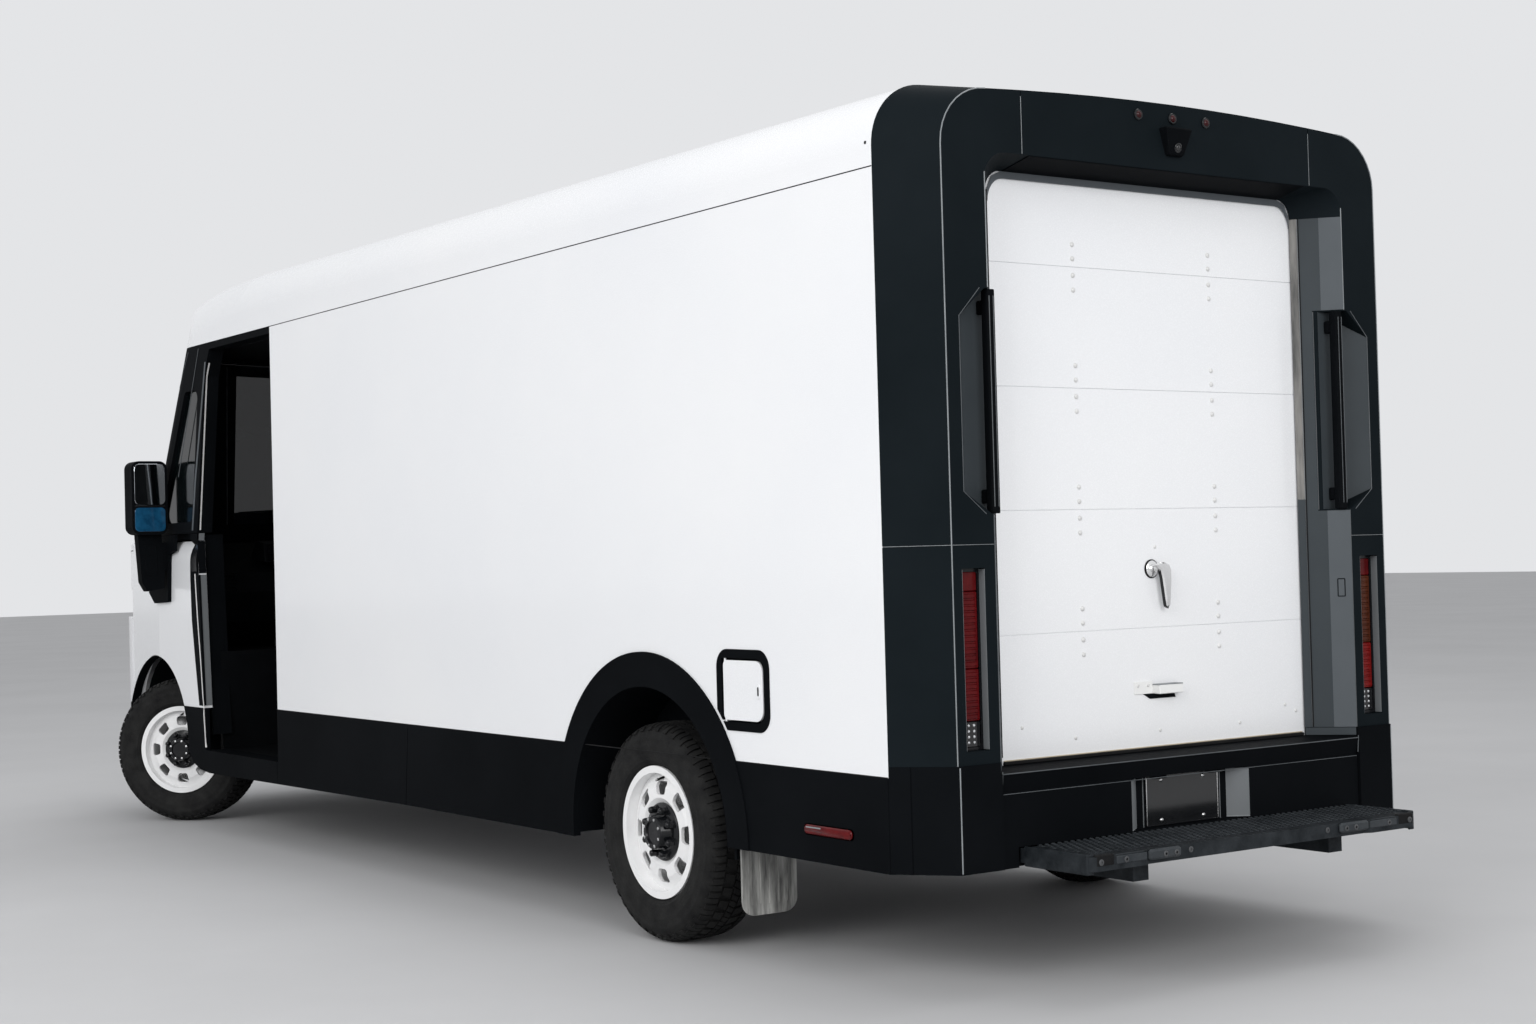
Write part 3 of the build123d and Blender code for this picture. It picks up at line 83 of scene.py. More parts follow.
def rounded(y0, y1, z0, z1, radius, steps=5):
    """A rectangle with round corners, as a list of points."""
    radius = min(radius, (y1 - y0) / 2, (z1 - z0) / 2)
    points = []
    for (y, z), start in (((y1 - radius, z1 - radius), 0), ((y0 + radius, z1 - radius), 90),
                          ((y0 + radius, z0 + radius), 180), ((y1 - radius, z0 + radius), 270)):
        for step in range(steps + 1):
            angle = math.radians(start + 90 * step / steps)
            points.append((y + radius * math.cos(angle), z + radius * math.sin(angle)))
    return points


def smooth_path(points, steps):
    """A Catmull-Rom curve through points."""
    points = [Vector(point) for point in points]
    ends = [points[0] * 2 - points[1]] + points + [points[-1] * 2 - points[-2]]
    made = []
    for a, b, c, d in zip(ends, ends[1:], ends[2:], ends[3:]):
        for step in range(steps):
            t = step / steps
            bend, twist = 2 * a - 5 * b + 4 * c - d, 3 * b - a - 3 * c + d
            made.append(0.5 * (2 * b + (c - a) * t + bend * t * t + twist * t ** 3))
    return made + [points[-1]]


class Piece:
    """One named mesh of simple closed solids, each with its own material."""

    def __init__(self, name, place=AXLE):
        self.name, self.place = name, place
        self.points, self.faces, self.marks, self.looks = [], [], [], []

    def add(self, look, points, faces):
        """Takes in points, and faces that count from the first of them, under one look."""
        if look not in self.looks:
            self.looks.append(look)
        first = len(self.points)
        self.points.extend(Vector(point) for point in points)
        self.faces.extend(tuple(first + corner for corner in face) for face in faces)
        self.marks.extend([self.looks.index(look)] * len(faces))
        return self

    def stack(self, look, loops, closed=False):
        """Joins loops of equal length into a skin, capped at both ends unless closed."""
        size = len(loops[0])
        points = [point for loop in loops for point in loop]
        faces = []
        rows = len(loops) if closed else len(loops) - 1
        for row in range(rows):
            below, above = row * size, (row + 1) % len(loops) * size
            for number in range(size):
                after = (number + 1) % size
                faces.append((below + number, below + after, above + after, above + number))
        if not closed:
            faces.append(tuple(range(size - 1, -1, -1)))
            faces.append(tuple((len(loops) - 1) * size + number for number in range(size)))
        return self.add(look, points, faces)

    def prism(self, look, outline, axis, start, end, edge=0.0):
        """An outline in the plane across axis, drawn from start to end, with chamfered rims."""
        area = sum(a[0] * b[1] - b[0] * a[1] for a, b in zip(outline, outline[1:] + outline[:1]))
        turned = (area > 0) != (axis != "y")
        outline = outline[::-1] if turned else list(outline)
        low, high = min(start, end), max(start, end)
        levels = [(low, outline), (high, outline)]
        if edge:
            small = inset(outline, edge)
            levels = [(low, small), (low + edge, outline), (high - edge, outline), (high, small)]

        def lift(point, at):
            a, b = point
            return {"x": (at, a, b), "y": (a, at, b), "z": (a, b, at)}[axis]
        return self.stack(look, [[lift(point, at) for point in loop] for at, loop in levels])

    def box(self, look, low, high, edge=0.0):
        """A block between two corners, with chamfered rims and corners if it has an edge."""
        x0, y0, z0 = (min(a, b) for a, b in zip(low, high))
        x1, y1, z1 = (max(a, b) for a, b in zip(low, high))
        outline = [(x0, y0), (x1, y0), (x1, y1), (x0, y1)]
        if edge:
            outline = [(x0 + edge, y0), (x1 - edge, y0), (x1, y0 + edge), (x1, y1 - edge), (x1 - edge, y1),
                       (x0 + edge, y1), (x0, y1 - edge), (x0, y0 + edge)]
        return self.prism(look, outline, "z", z0, z1, edge)

    def lathe(self, look, centre, axis, profile, sides=32, closed=False):
        """A profile of (radius, height) pairs turned about axis through centre."""
        axis = Vector(axis).normalized()
        side = axis.orthogonal().normalized()
        across = axis.cross(side)
        centre = Vector(centre)
        loops = []
        for radius, height in profile:
            radius = max(radius, 0.01)
            loops.append([centre + axis * height + radius * (math.cos(turn) * side + math.sin(turn) * across)
                          for turn in (math.tau * number / sides for number in range(sides))])
        return self.stack(look, loops, closed)

    def rod(self, look, start, end, radius, sides=16, edge=0.0):
        """A round bar between two points, with chamfered ends if it has an edge."""
        start, end = Vector(start), Vector(end)
        length = (end - start).length
        profile = [(radius, 0), (radius, length)]
        if edge:
            profile = [(radius - edge, 0), (radius, edge), (radius, length - edge), (radius - edge, length)]
        return self.lathe(look, start, end - start, profile, sides)

    def dome(self, look, centre, axis, radius, height, sides=16, rings=4):
        """A round cap that rises along axis from its flat foot."""
        profile = [(radius * math.cos(math.pi / 2 * n / rings), height * math.sin(math.pi / 2 * n / rings))
                   for n in range(rings + 1)]
        return self.lathe(look, centre, axis, profile, sides)

    def bolt(self, look, centre, axis, radius, height, washer=1.45):
        """A hexagon head on a washer."""
        axis = Vector(axis).normalized()
        self.lathe(look, centre, axis, [(radius * washer, 0), (radius * washer, height * 0.2)], 16)
        return self.lathe(look, Vector(centre) + axis * height * 0.2, axis,
                          [(radius, 0), (radius, height * 0.65), (radius * 0.8, height * 0.8)], 6)

    def tube(self, look, path, radius, sides=8):
        """A round bar along a path, capped."""
        path = [Vector(point) for point in path]
        side = None
        loops = []
        for number, point in enumerate(path):
            ahead = (path[min(number + 1, len(path) - 1)] - path[max(number - 1, 0)]).normalized()
            side = (side - ahead * side.dot(ahead)).normalized() if side else ahead.orthogonal().normalized()
            across = ahead.cross(side)
            loops.append([point + radius * (math.cos(turn) * side + math.sin(turn) * across)
                          for turn in (math.tau * n / sides for n in range(sides))])
        return self.stack(look, loops)

    def twin(self):
        """Repeats everything so far on the van's other side."""
        count = len(self.points)
        self.points += [Vector((p.x, -p.y, p.z)) for p in self.points]
        self.marks += self.marks
        self.faces += [tuple(count + corner for corner in reversed(face)) for face in self.faces]
        return self

    def done(self, body, slot, replaces=(), angle=38):
        mesh = bpy.data.meshes.new(self.name)
        mesh.from_pydata([self.place @ point for point in self.points], [], self.faces)
        for look in self.looks:
            mesh.materials.append(look)
        mesh.polygons.foreach_set("material_index", self.marks)
        mesh.polygons.foreach_set("use_smooth", [True] * len(mesh.polygons))
        mesh.update()
        mesh.validate()
        mesh.set_sharp_from_angle(angle=math.radians(angle))
        obj = bpy.data.objects.new(self.name, mesh)
        bpy.context.collection.objects.link(obj)
        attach(obj, body)
        if replaces:
            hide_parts(*replaces)
        return obj

    def pair(self, body, slot, replaces=()):
        """The piece and its twin on the van's other side, as one mesh."""
        return self.twin().done(body, slot, replaces)


# ---------------------------------------------------------------- materials
COAT_ROUGH = 0.08             # of every clear coat
GLASS_SPECULAR = 0.8


def new_material(name):
    """A material with its nodes, its links and its shader."""
    made = bpy.data.materials.new(name)
    made.use_nodes = True
    return made, made.node_tree.nodes, made.node_tree.links, made.node_tree.nodes["Principled BSDF"]


def noise(nodes, links, scale, detail=3.0, rough=0.55, stretch=(1, 1, 1)):
    """A noise texture in the object's own metres."""
    coords, mapping, texture = (nodes.new(f"ShaderNode{kind}") for kind in ("TexCoord", "Mapping", "TexNoise"))
    mapping.inputs["Scale"].default_value = stretch
    for socket, value in (("Scale", scale), ("Detail", detail), ("Roughness", rough)):
        texture.inputs[socket].default_value = value
    links.new(coords.outputs["Object"], mapping.inputs["Vector"])
    links.new(mapping.outputs["Vector"], texture.inputs["Vector"])
    return texture.outputs["Fac"]


def ramp(nodes, links, source, low, high, a, b):
    """Maps source from low..high to the values or colours a..b."""
    if isinstance(a, tuple):
        made = nodes.new("ShaderNodeMix")
        made.data_type = "RGBA"
        links.new(ramp(nodes, links, source, low, high, 0.0, 1.0), made.inputs["Factor"])
        made.inputs["A"].default_value = (*a, 1)
        made.inputs["B"].default_value = (*b, 1)
        return made.outputs["Result"]
    made = nodes.new("ShaderNodeMapRange")
    for socket, value in (("From Min", low), ("From Max", high), ("To Min", a), ("To Max", b)):
        made.inputs[socket].default_value = value
    links.new(source, made.inputs["Value"])
    return made.outputs["Result"]


def bump(nodes, links, shader, height, strength, distance):
    """Dents a shader's normal by a height."""
    made = nodes.new("ShaderNodeBump")
    made.inputs["Strength"].default_value = strength
    made.inputs["Distance"].default_value = distance
    links.new(height, made.inputs["Height"])
    links.new(made.outputs["Normal"], shader.inputs["Normal"])


def surface(name, dark, light, rough=(0.4, 0.5), grain=(60.0, 0.1, 0.0005), patch=2.0, metal=0.0, coat=0.0,
            stretch=(1, 1, 1), specular=0.5):
    """A material whose colour drifts between two tones in patches, with a fine grain in its bump and gloss.

    rough is the range of its roughness, and grain the scale, strength and height in metres of its bump.
    """
    made, nodes, links, shader = new_material(name)
    patches = noise(nodes, links, patch, 4.0, 0.6, stretch)
    links.new(ramp(nodes, links, patches, 0.3, 0.7, dark, light), shader.inputs["Base Color"])
    fine = noise(nodes, links, grain[0], 2.0, 0.5, stretch)
    links.new(ramp(nodes, links, fine, 0.3, 0.7, rough[0], rough[1]), shader.inputs["Roughness"])
    bump(nodes, links, shader, fine, grain[1], grain[2])
    for socket, value in (("Metallic", metal), ("Coat Weight", coat), ("Coat Roughness", COAT_ROUGH),
                          ("Specular IOR Level", specular)):
        shader.inputs[socket].default_value = value
    return made


def jamb(name, dark, light, grain=0.15):
    """Moulded grey trim beside the tail door and round the doorways."""
    return surface(name, dark, light, (0.45, 0.60), (500.0, grain, 0.0003), 1.5, specular=0.2)


def lens(name, dark, light, specular=0.25):
    """A ribbed lamp glass, seen unlit."""
    return surface(name, dark, light, (0.14, 0.22), (180.0, 0.15, 0.0005), 20.0, specular=specular)


def glass_material(name, tint, rough=0.02, alpha=0.35):
    """Thin tinted glass: glossy, and see-through in part."""
    made, nodes, links, shader = new_material(name)
    for socket, value in (("Base Color", (*tint, 1)), ("Roughness", rough), ("Alpha", alpha),
                          ("Specular IOR Level", GLASS_SPECULAR)):
        shader.inputs[socket].default_value = value
    smear = noise(nodes, links, 6.0, 3.0, 0.6)
    links.new(ramp(nodes, links, smear, 0.4, 0.8, rough, rough + 0.05), shader.inputs["Roughness"])
    return made


WHITE = surface("paint_white", (0.80, 0.81, 0.83), (0.84, 0.845, 0.855), (0.22, 0.30), (420.0, 0.05, 0.0002),
                0.8, coat=0.5)
DOOR_WHITE = surface("paint_door", (0.80, 0.80, 0.79), (0.84, 0.84, 0.83), (0.30, 0.40), (300.0, 0.06, 0.0003),
                     1.4, coat=0.2)
WHEEL_WHITE = surface("paint_wheel", (0.80, 0.80, 0.80), (0.86, 0.86, 0.86), (0.30, 0.42),
                      (260.0, 0.08, 0.0003), 9.0, coat=0.3)
TRIM = surface("trim_black", (0.0030, 0.0036, 0.0044), (0.0052, 0.0060, 0.0072), (0.48, 0.66),
               (900.0, 0.28, 0.0004), 1.6, specular=0.012)
TRIM_SMOOTH = surface("trim_gloss", (0.003, 0.0035, 0.0045), (0.006, 0.0066, 0.008), (0.16, 0.28),
                      (300.0, 0.04, 0.0002), 3.0, coat=0.1, specular=0.3)
# Three tones of one grey trim; round the tail door, the lamp pockets and the plate, the tones are painted light
# and shade on faces turned to or from the light.
JAMB_GREY = jamb("trim_jamb", (0.070, 0.080, 0.088), (0.090, 0.100, 0.110))
JAMB_DARK = jamb("trim_jamb_dark", (0.030, 0.037, 0.042), (0.042, 0.050, 0.056))
JAMB_LIGHT = jamb("trim_jamb_light", (0.13, 0.14, 0.145), (0.17, 0.18, 0.19), 0.10)
# Streaky pale patches on the upper part of the strip beside the door: painted sheen where the light falls.
JAMB_SHEEN = surface("trim_painted_sheen", (0.025, 0.026, 0.026), (0.26, 0.25, 0.235), (0.55, 0.70),
                    (500.0, 0.15, 0.0003), 26.0, stretch=(1, 1, 0.12))
PORTAL = surface("trim_portal", (0.0055, 0.0082, 0.0100), (0.0085, 0.0118, 0.0142), (0.46, 0.62),
                 (900.0, 0.25, 0.0004), 1.6, specular=0.02)
# Thin grey lines that stand for light caught along edges and folds: painted highlights; on the tail door's
# pull, a painted shadow line.
EDGE_HIGHLIGHT_AND_SHADE = surface("trim_edge_highlight_and_shade", (0.16, 0.175, 0.185), (0.24, 0.255, 0.265), (0.35, 0.50),
               (300.0, 0.10, 0.0002), 9.0)
# Pale strips that stand for thin reflections along the doorway's front edge: painted reflection.
BRIGHT_REFLECTION = surface("trim_bright_reflection", (0.80, 0.79, 0.78), (0.90, 0.89, 0.88), (0.25, 0.38), (300.0, 0.06, 0.0002),
                 9.0, metal=0.2)
# Dimmer lines of painted highlight.
EDGE_HIGHLIGHT_DIM = surface("trim_edge_highlight_dim", (0.055, 0.062, 0.068), (0.085, 0.094, 0.10), (0.40, 0.55),
                   (300.0, 0.10, 0.0002), 9.0)
# Rivet heads greyer than the white door: painted shade.
RIVET_SHADED = surface("rivet_white_shaded", (0.62, 0.62, 0.61), (0.72, 0.72, 0.71), (0.25, 0.35), (300.0, 0.05, 0.0002), 9.0)
FRAME_STEEL = surface("frame_steel", (0.010, 0.010, 0.011), (0.030, 0.029, 0.028), (0.45, 0.65),
                      (80.0, 0.25, 0.001), 4.0)
ALLOY = surface("alloy", (0.42, 0.42, 0.43), (0.56, 0.56, 0.57), (0.28, 0.45), (260.0, 0.15, 0.0004), 5.0,
                metal=0.9, stretch=(0.15, 1, 1))
STEEL = surface("bright_steel", (0.50, 0.50, 0.50), (0.66, 0.66, 0.66), (0.18, 0.34), (300.0, 0.10, 0.0003),
                12.0, metal=1.0)
CHROME = surface("chrome", (0.78, 0.78, 0.78), (0.88, 0.88, 0.88), (0.10, 0.20), (200.0, 0.04, 0.0002), 12.0,
                 metal=0.85)
BOLT = surface("bolt_dark", (0.045, 0.047, 0.050), (0.085, 0.088, 0.092), (0.35, 0.50), (200.0, 0.15, 0.0003),
               30.0, metal=0.4)
BUFFER = surface("buffer_grey", (0.020, 0.024, 0.028), (0.042, 0.047, 0.052), (0.50, 0.70),
                 (200.0, 0.30, 0.0008), 12.0, specular=0.2)
PRIVACY = surface("glass_black", (0.0015, 0.0028, 0.0030), (0.0030, 0.0045, 0.0050), (0.06, 0.10),
                  (60.0, 0.01, 0.0001), 3.0, specular=0.25)
GRIP = surface("step_grip", (0.006, 0.008, 0.010), (0.026, 0.030, 0.034), (0.45, 0.65), (180.0, 0.35, 0.0010),
               16.0, specular=0.12)
RUBBER = surface("rubber", (0.006, 0.006, 0.0065), (0.014, 0.014, 0.0145), (0.60, 0.80), (300.0, 0.25, 0.0006),
                 6.0, specular=0.1)
TYRE = surface("tyre_rubber", (0.007, 0.007, 0.0075), (0.020, 0.020, 0.0195), (0.62, 0.85),
               (220.0, 0.35, 0.0008), 14.0, specular=0.12)
CAB = surface("cab_plastic", (0.0018, 0.0022, 0.0028), (0.0040, 0.0046, 0.0054), (0.50, 0.66),
              (700.0, 0.25, 0.0004), 5.0, specular=0.06)
LINING = surface("lining_grey", (0.026, 0.028, 0.030), (0.040, 0.042, 0.044), (0.55, 0.70),
                 (400.0, 0.15, 0.0004), 2.0, specular=0.3)
SEAL = surface("seal_ivory", (0.42, 0.36, 0.26), (0.52, 0.46, 0.35), (0.55, 0.70), (300.0, 0.2, 0.0005), 8.0)
PLATE = surface("plate_blank", (0.0045, 0.005, 0.006), (0.0075, 0.008, 0.009), (0.10, 0.16),
                (200.0, 0.01, 0.0001), 20.0, coat=0.5)
FLAP = surface("flap_plastic", (0.045, 0.045, 0.043), (0.42, 0.42, 0.40), (0.25, 0.5), (60.0, 0.30, 0.001),
               20.0, stretch=(1, 1.6, 0.22))
CLOTH = surface("seat_cloth", (0.018, 0.019, 0.021), (0.040, 0.041, 0.044), (0.85, 0.95),
                (1400.0, 0.5, 0.0008), 30.0)
RED = lens("lens_red", (0.018, 0.0012, 0.0020), (0.034, 0.0020, 0.0030))
# Deep red for the lamps' top lenses and the side markers, and over the whole left tail lamp as painted shade;
# the lighter red of the right tail lamp is painted light.
LENS_DEEP = lens("lens_deep_red", (0.060, 0.0020, 0.0030), (0.11, 0.0040, 0.0050), 0.2)
LENS_LIT_RED = lens("lens_lit_red", (0.10, 0.0030, 0.0030), (0.19, 0.0060, 0.0050))
LENS_BROWN = lens("lens_brown", (0.045, 0.0095, 0.0035), (0.080, 0.0190, 0.0060))
AMBER = surface("lens_amber", (0.30, 0.07, 0.01), (0.42, 0.11, 0.015), (0.10, 0.16), (180.0, 0.20, 0.0006),
                20.0, coat=1.0)
CLEAR = surface("lens_clear", (0.45, 0.46, 0.47), (0.62, 0.63, 0.65), (0.08, 0.14), (240.0, 0.25, 0.0006), 26.0,
                metal=0.3, coat=1.0)
MIRROR = surface("mirror_glass", (0.62, 0.66, 0.70), (0.68, 0.71, 0.74), (0.02, 0.04), (30.0, 0.01, 0.0001),
                 3.0, metal=1.0)
# Blue of the convex mirror glass: a painted reflection of the sky.
SKY_REFLECTION_GLASS = surface("mirror_painted_sky", (0.003, 0.030, 0.075), (0.014, 0.115, 0.24), (0.03, 0.06),
                    (30.0, 0.01, 0.0001), 12.0, metal=0.2, coat=0.6)
SCREEN = surface("screen_black", (0.003, 0.003, 0.004), (0.006, 0.006, 0.007), (0.06, 0.10),
                 (60.0, 0.01, 0.0001), 3.0, coat=0.6)
GLASS = glass_material("window_glass", (0.012, 0.016, 0.022), alpha=0.80)
COVER = glass_material("lamp_cover", (0.70, 0.72, 0.75), alpha=0.18)

SLOT_LOOKS = {
    "white_paint": WHITE, "wheel_paint": WHEEL_WHITE, "plate_metal": PLATE, "inner_panel": LINING,
    "frame_steel": FRAME_STEEL, "cast_metal": FRAME_STEEL, "floor_metal": ALLOY,
    "dark_trim": TRIM, "cab_plastic": CAB, "tyre_rubber": TYRE, "flap_rubber": FLAP, "seat_cloth": CLOTH,
    "window_glass": GLASS, "red_lens": RED, "clear_lens": CLEAR,
}
NODE_LOOKS = {"rear_frame": PORTAL, "quarter_glass": PRIVACY, "rear_step": GRIP}
NODE_SLOTS = {part["node"]: part["material_slot"] for part in RECORD["subparts"]}
for node, obj in NODES.items():
    if node in NODE_SLOTS:
        obj.data.materials.clear()
        obj.data.materials.append(NODE_LOOKS.get(node, SLOT_LOOKS[NODE_SLOTS[node]]))


# ---------------------------------------------------------------- wheels
FACE, PORTAL_FRONT = (corner.x for corner in span("rear_frame"))  # the portal's rear and front faces
PORTAL_FOOT = span("rear_frame")[0].z
DOOR_FACE = span("rear_door")[0].x
BUMPER_FACE = span("rear_bumper")[0].x
SIDE = span("side_wall_left")[1].y
TYRE_LOW, TYRE_HIGH = span("tyre_rear_left")
TYRE_R = (TYRE_HIGH.z - TYRE_LOW.z) / 2
TYRE_HALF = (TYRE_HIGH.y - TYRE_LOW.y) / 2
DISC_FACE = 70                # bolt face, outboard of the wheel's middle
PITCHES = 90                  # tread blocks round the tyre
NUTS, NUT_CIRCLE = 8, 77      # wheel nuts and the radius they stand on
WHEELS = ("rear_left", "rear_right", "front_left", "front_right")


def wheel_place(name):
    """The wheel's own frame: its middle at the origin, +Y outboard, +Z up, millimetres."""
    low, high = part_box(f"rim_{name}")
    middle = (low + high) / 2
    outward = Vector(JOINTS[f"spin_{name}"]["axis"]).normalized() * (1 if middle.y > 0 else -1)
    ahead = outward.cross(Vector((0, 0, 1)))
    turned = Matrix(((ahead.x, outward.x, 0, middle.x), (ahead.y, outward.y, 0, middle.y), (0, 0, 1, middle.z),
                     (0, 0, 0, 1)))
    return turned @ Matrix.Scale(MM, 4)


def lug(piece, look, profile, start, end, depth, shear=0.0):
    """A tread block: a (radius, y) profile from a start to an end angle, turned across the tread by shear."""
    outer, inner = [], []
    for number, (radius, y) in enumerate(profile):
        before, after = profile[max(number - 1, 0)], profile[min(number + 1, len(profile) - 1)]
        normal = Vector((after[1] - before[1], before[0] - after[0])).normalized()
        outer.append((radius, y))
        inner.append((radius - depth * normal.x, y - depth * normal.y))
    loop = outer + inner[::-1]

    def at(angle):
        return [(radius * math.sin(angle + shear * y / TYRE_R), y,
                 radius * math.cos(angle + shear * y / TYRE_R)) for radius, y in loop]
    middle = (start + end) / 2
    piece.stack(look, [at(start), at(middle), at(end)])


def tyre(name):
    """Carcass with bead and sidewall ribs, blocks in five rows, and lugs down both shoulders."""
    piece = Piece(f"tyre_body_{name}", wheel_place(name))
    half = TYRE_HALF
    side = [(209, 87), (221, 88), (225, 96), (231, 102), (236, 104), (238, 106.5), (244, 108),
            (248, half - 4.5), (252, half - 2.5), (256, half - 2.8), (262, half - 2.0), (278, half - 0.6),
            (281, half), (287, half), (290, half - 0.8), (308, half - 1.6), (311, half - 1.0),
            (316, half - 1.4), (319, half - 2.6), (330, half - 8), (342, half - 17), (350, half - 30),
            (353, half - 50), (353, 0)]
    outline = side + [(radius, -y) for radius, y in reversed(side[:-1])]
    piece.lathe(TYRE, (0, 0, 0), (0, 1, 0), outline, 96, closed=True)
    step = math.tau / PITCHES
    for number in range(PITCHES):
        base = number * step
        zig = 0.16 if number % 2 else -0.16
        lug(piece, TYRE, [(TYRE_R - 0.2, -13), (TYRE_R, 0), (TYRE_R - 0.2, 13)], base,
            base + step * 0.82, 10, 0.55)
        for hand in (1, -1):
            shift = base + (0.5 * step if hand < 0 else 0.0)
            row = [(TYRE_R - 0.5, hand * 19), (TYRE_R - 0.9, hand * 36), (TYRE_R - 2, hand * 54)]
            shoulder = [(TYRE_R - 2.4, hand * 61), (TYRE_R - 5, hand * 80), (TYRE_R - 13, hand * 96)]
            if number % 2:
                shoulder.append((TYRE_R - 24, hand * (half - 6.2)))
            if hand < 0:
                row.reverse()
                shoulder.reverse()
            lug(piece, TYRE, row, shift + step * 0.06, shift + step * 0.80, 10, hand * (0.35 + zig))
            lug(piece, TYRE, shoulder, shift + step * (0.12 + zig / 4), shift + step * (0.84 + zig / 4), 8,
                hand * -0.12)
    piece.done(f"wheel_{name}", "tyre_rubber", (f"tyre_{name}",), angle=32)


def hub(name):
    """Black hub that stands out of the disc, with eight nuts, and the tyre's valve."""
    piece = Piece(f"hub_{name}", wheel_place(name))
    centre = (0, DISC_FACE, 0)
    piece.lathe(TRIM_SMOOTH, centre, (0, 1, 0), [(96, 0.2), (96, 6), (92, 9), (62, 11), (58, 16), (56, 44),
                                                 (52, 49), (38, 50), (36, 44), (12, 43)], 40)
    for number in range(NUTS):
        turn = math.tau * (number + 0.5) / NUTS
        x, z = NUT_CIRCLE * math.sin(turn), NUT_CIRCLE * math.cos(turn)
        piece.lathe(TRIM_SMOOTH, (x, DISC_FACE + 9, z), (0, 1, 0),
                    [(16, 0), (16, 4), (12.5, 5), (12.5, 24), (9, 29), (3, 31)], 6)
        x, z = 46 * math.sin(turn), 46 * math.cos(turn)
        piece.lathe(STEEL, (x, DISC_FACE + 49, z), (0, 1, 0), [(5.5, 0), (5.5, 3), (4, 4)], 6)
    piece.rod(RUBBER, (0, 62, 180), (0, 92, 172), 4.5, 10)
    piece.rod(STEEL, (0, 91, 172), (0, 98, 170), 3.5, 8)
    piece.done(f"wheel_{name}", "dark_trim")


def brakes(name):
    """Vented disc that turns with the wheel, and the caliper that holds it."""
    place = wheel_place(name)
    disc = Piece(f"brake_disc_{name}", place)
    disc.lathe(STEEL, (0, 0, 0), (0, 1, 0), [(73, -31), (166, -31), (166, -24), (92, -24), (92, -17),
                                             (166, -17), (166, -10), (73, -10)], 48, closed=True)
    for number in range(24):
        turn = math.tau * number / 24
        out = Vector((math.sin(turn), 0, math.cos(turn)))
        disc.rod(FRAME_STEEL, out * 90 + Vector((0, -20.5, 0)), out * 164 + Vector((0, -20.5, 0)), 5, 6)
    disc.done(f"wheel_{name}", "frame_steel")
    front = name.startswith("front")
    caliper = Piece(f"caliper_{name}", place)
    outline = []
    for radius, steps in ((186, range(-4, 5)), (100, range(4, -5, -1))):
        outline += [(radius * math.cos(math.radians(9 * n)), radius * math.sin(math.radians(9 * n)))
                    for n in steps]
    hand = 1 if front or "left" in name else -1
    outline = [(x * -hand, z) for x, z in outline]
    for start, end in ((-58, -33), (-8, 14)):
        caliper.prism(FRAME_STEEL, outline, "y", start, end, 4)
    bridge = [(x, z) for x, z in outline if math.hypot(x, z) > 150]
    bridge += [(x * 170.5 / 186, z * 170.5 / 186) for x, z in reversed(bridge)]
    caliper.prism(FRAME_STEEL, bridge, "y", -58, 14)
    reach = -outline[4][0] / abs(outline[4][0])
    caliper.box(FRAME_STEEL, (reach * -60, -56, -25), (reach * -120, -46, 25), 3)
    caliper.done(f"knuckle_{name[6:]}" if front else "body", "cast_metal")


for wheel in WHEELS:
    tyre(wheel)
    hub(wheel)
    brakes(wheel)


# ---------------------------------------------------------------- rear portal and door
JAMB_IN, JAMB_OUT = Vector((DOOR_FACE - 4, 646)), Vector((FACE, 755))  # ends of the splayed jamb in plan
JAMB_LONG = (JAMB_OUT - JAMB_IN).length
DOOR_LOW, DOOR_HIGH = span("rear_door")
DOOR_TOP = DOOR_HIGH.z - 30
LAMPS_LOW, LAMPS_HIGH = span("tail_lamps")
GRIP_LOW, GRIP_HIGH = 1366, 2006
PORTAL_SEAM, SHEEN_FROM = 1280, 1400  # heights: the mouldings' joint, and where the strip by the door turns from dark to a painted sheen
CORNER = FACE, 912     # the fold between the portal's rear and side faces, in plan
ARC_Y, ARC_Z, ARC_R = 742, 2405.8, 170  # the fold's round upper corner
RIVET_Y, RIVET_SEAMS = (-268, 308), (2105, 1741, 1377, 1013)


def splay(along, off):
    """A point in plan on the left jamb, along it from the door and off its surface."""
    run = (JAMB_OUT - JAMB_IN).normalized()
    return (JAMB_IN.x + run.x * along - run.y * off, JAMB_IN.y + run.y * along + run.x * off)


def jamb_slab(piece, look, start, end, thick, low, high):
    """A flat strip on the left jamb."""
    outline = [splay(start, 0.1), splay(end, 0.1), splay(end, thick), splay(start, thick)]
    piece.prism(look, outline, "z", low, high)


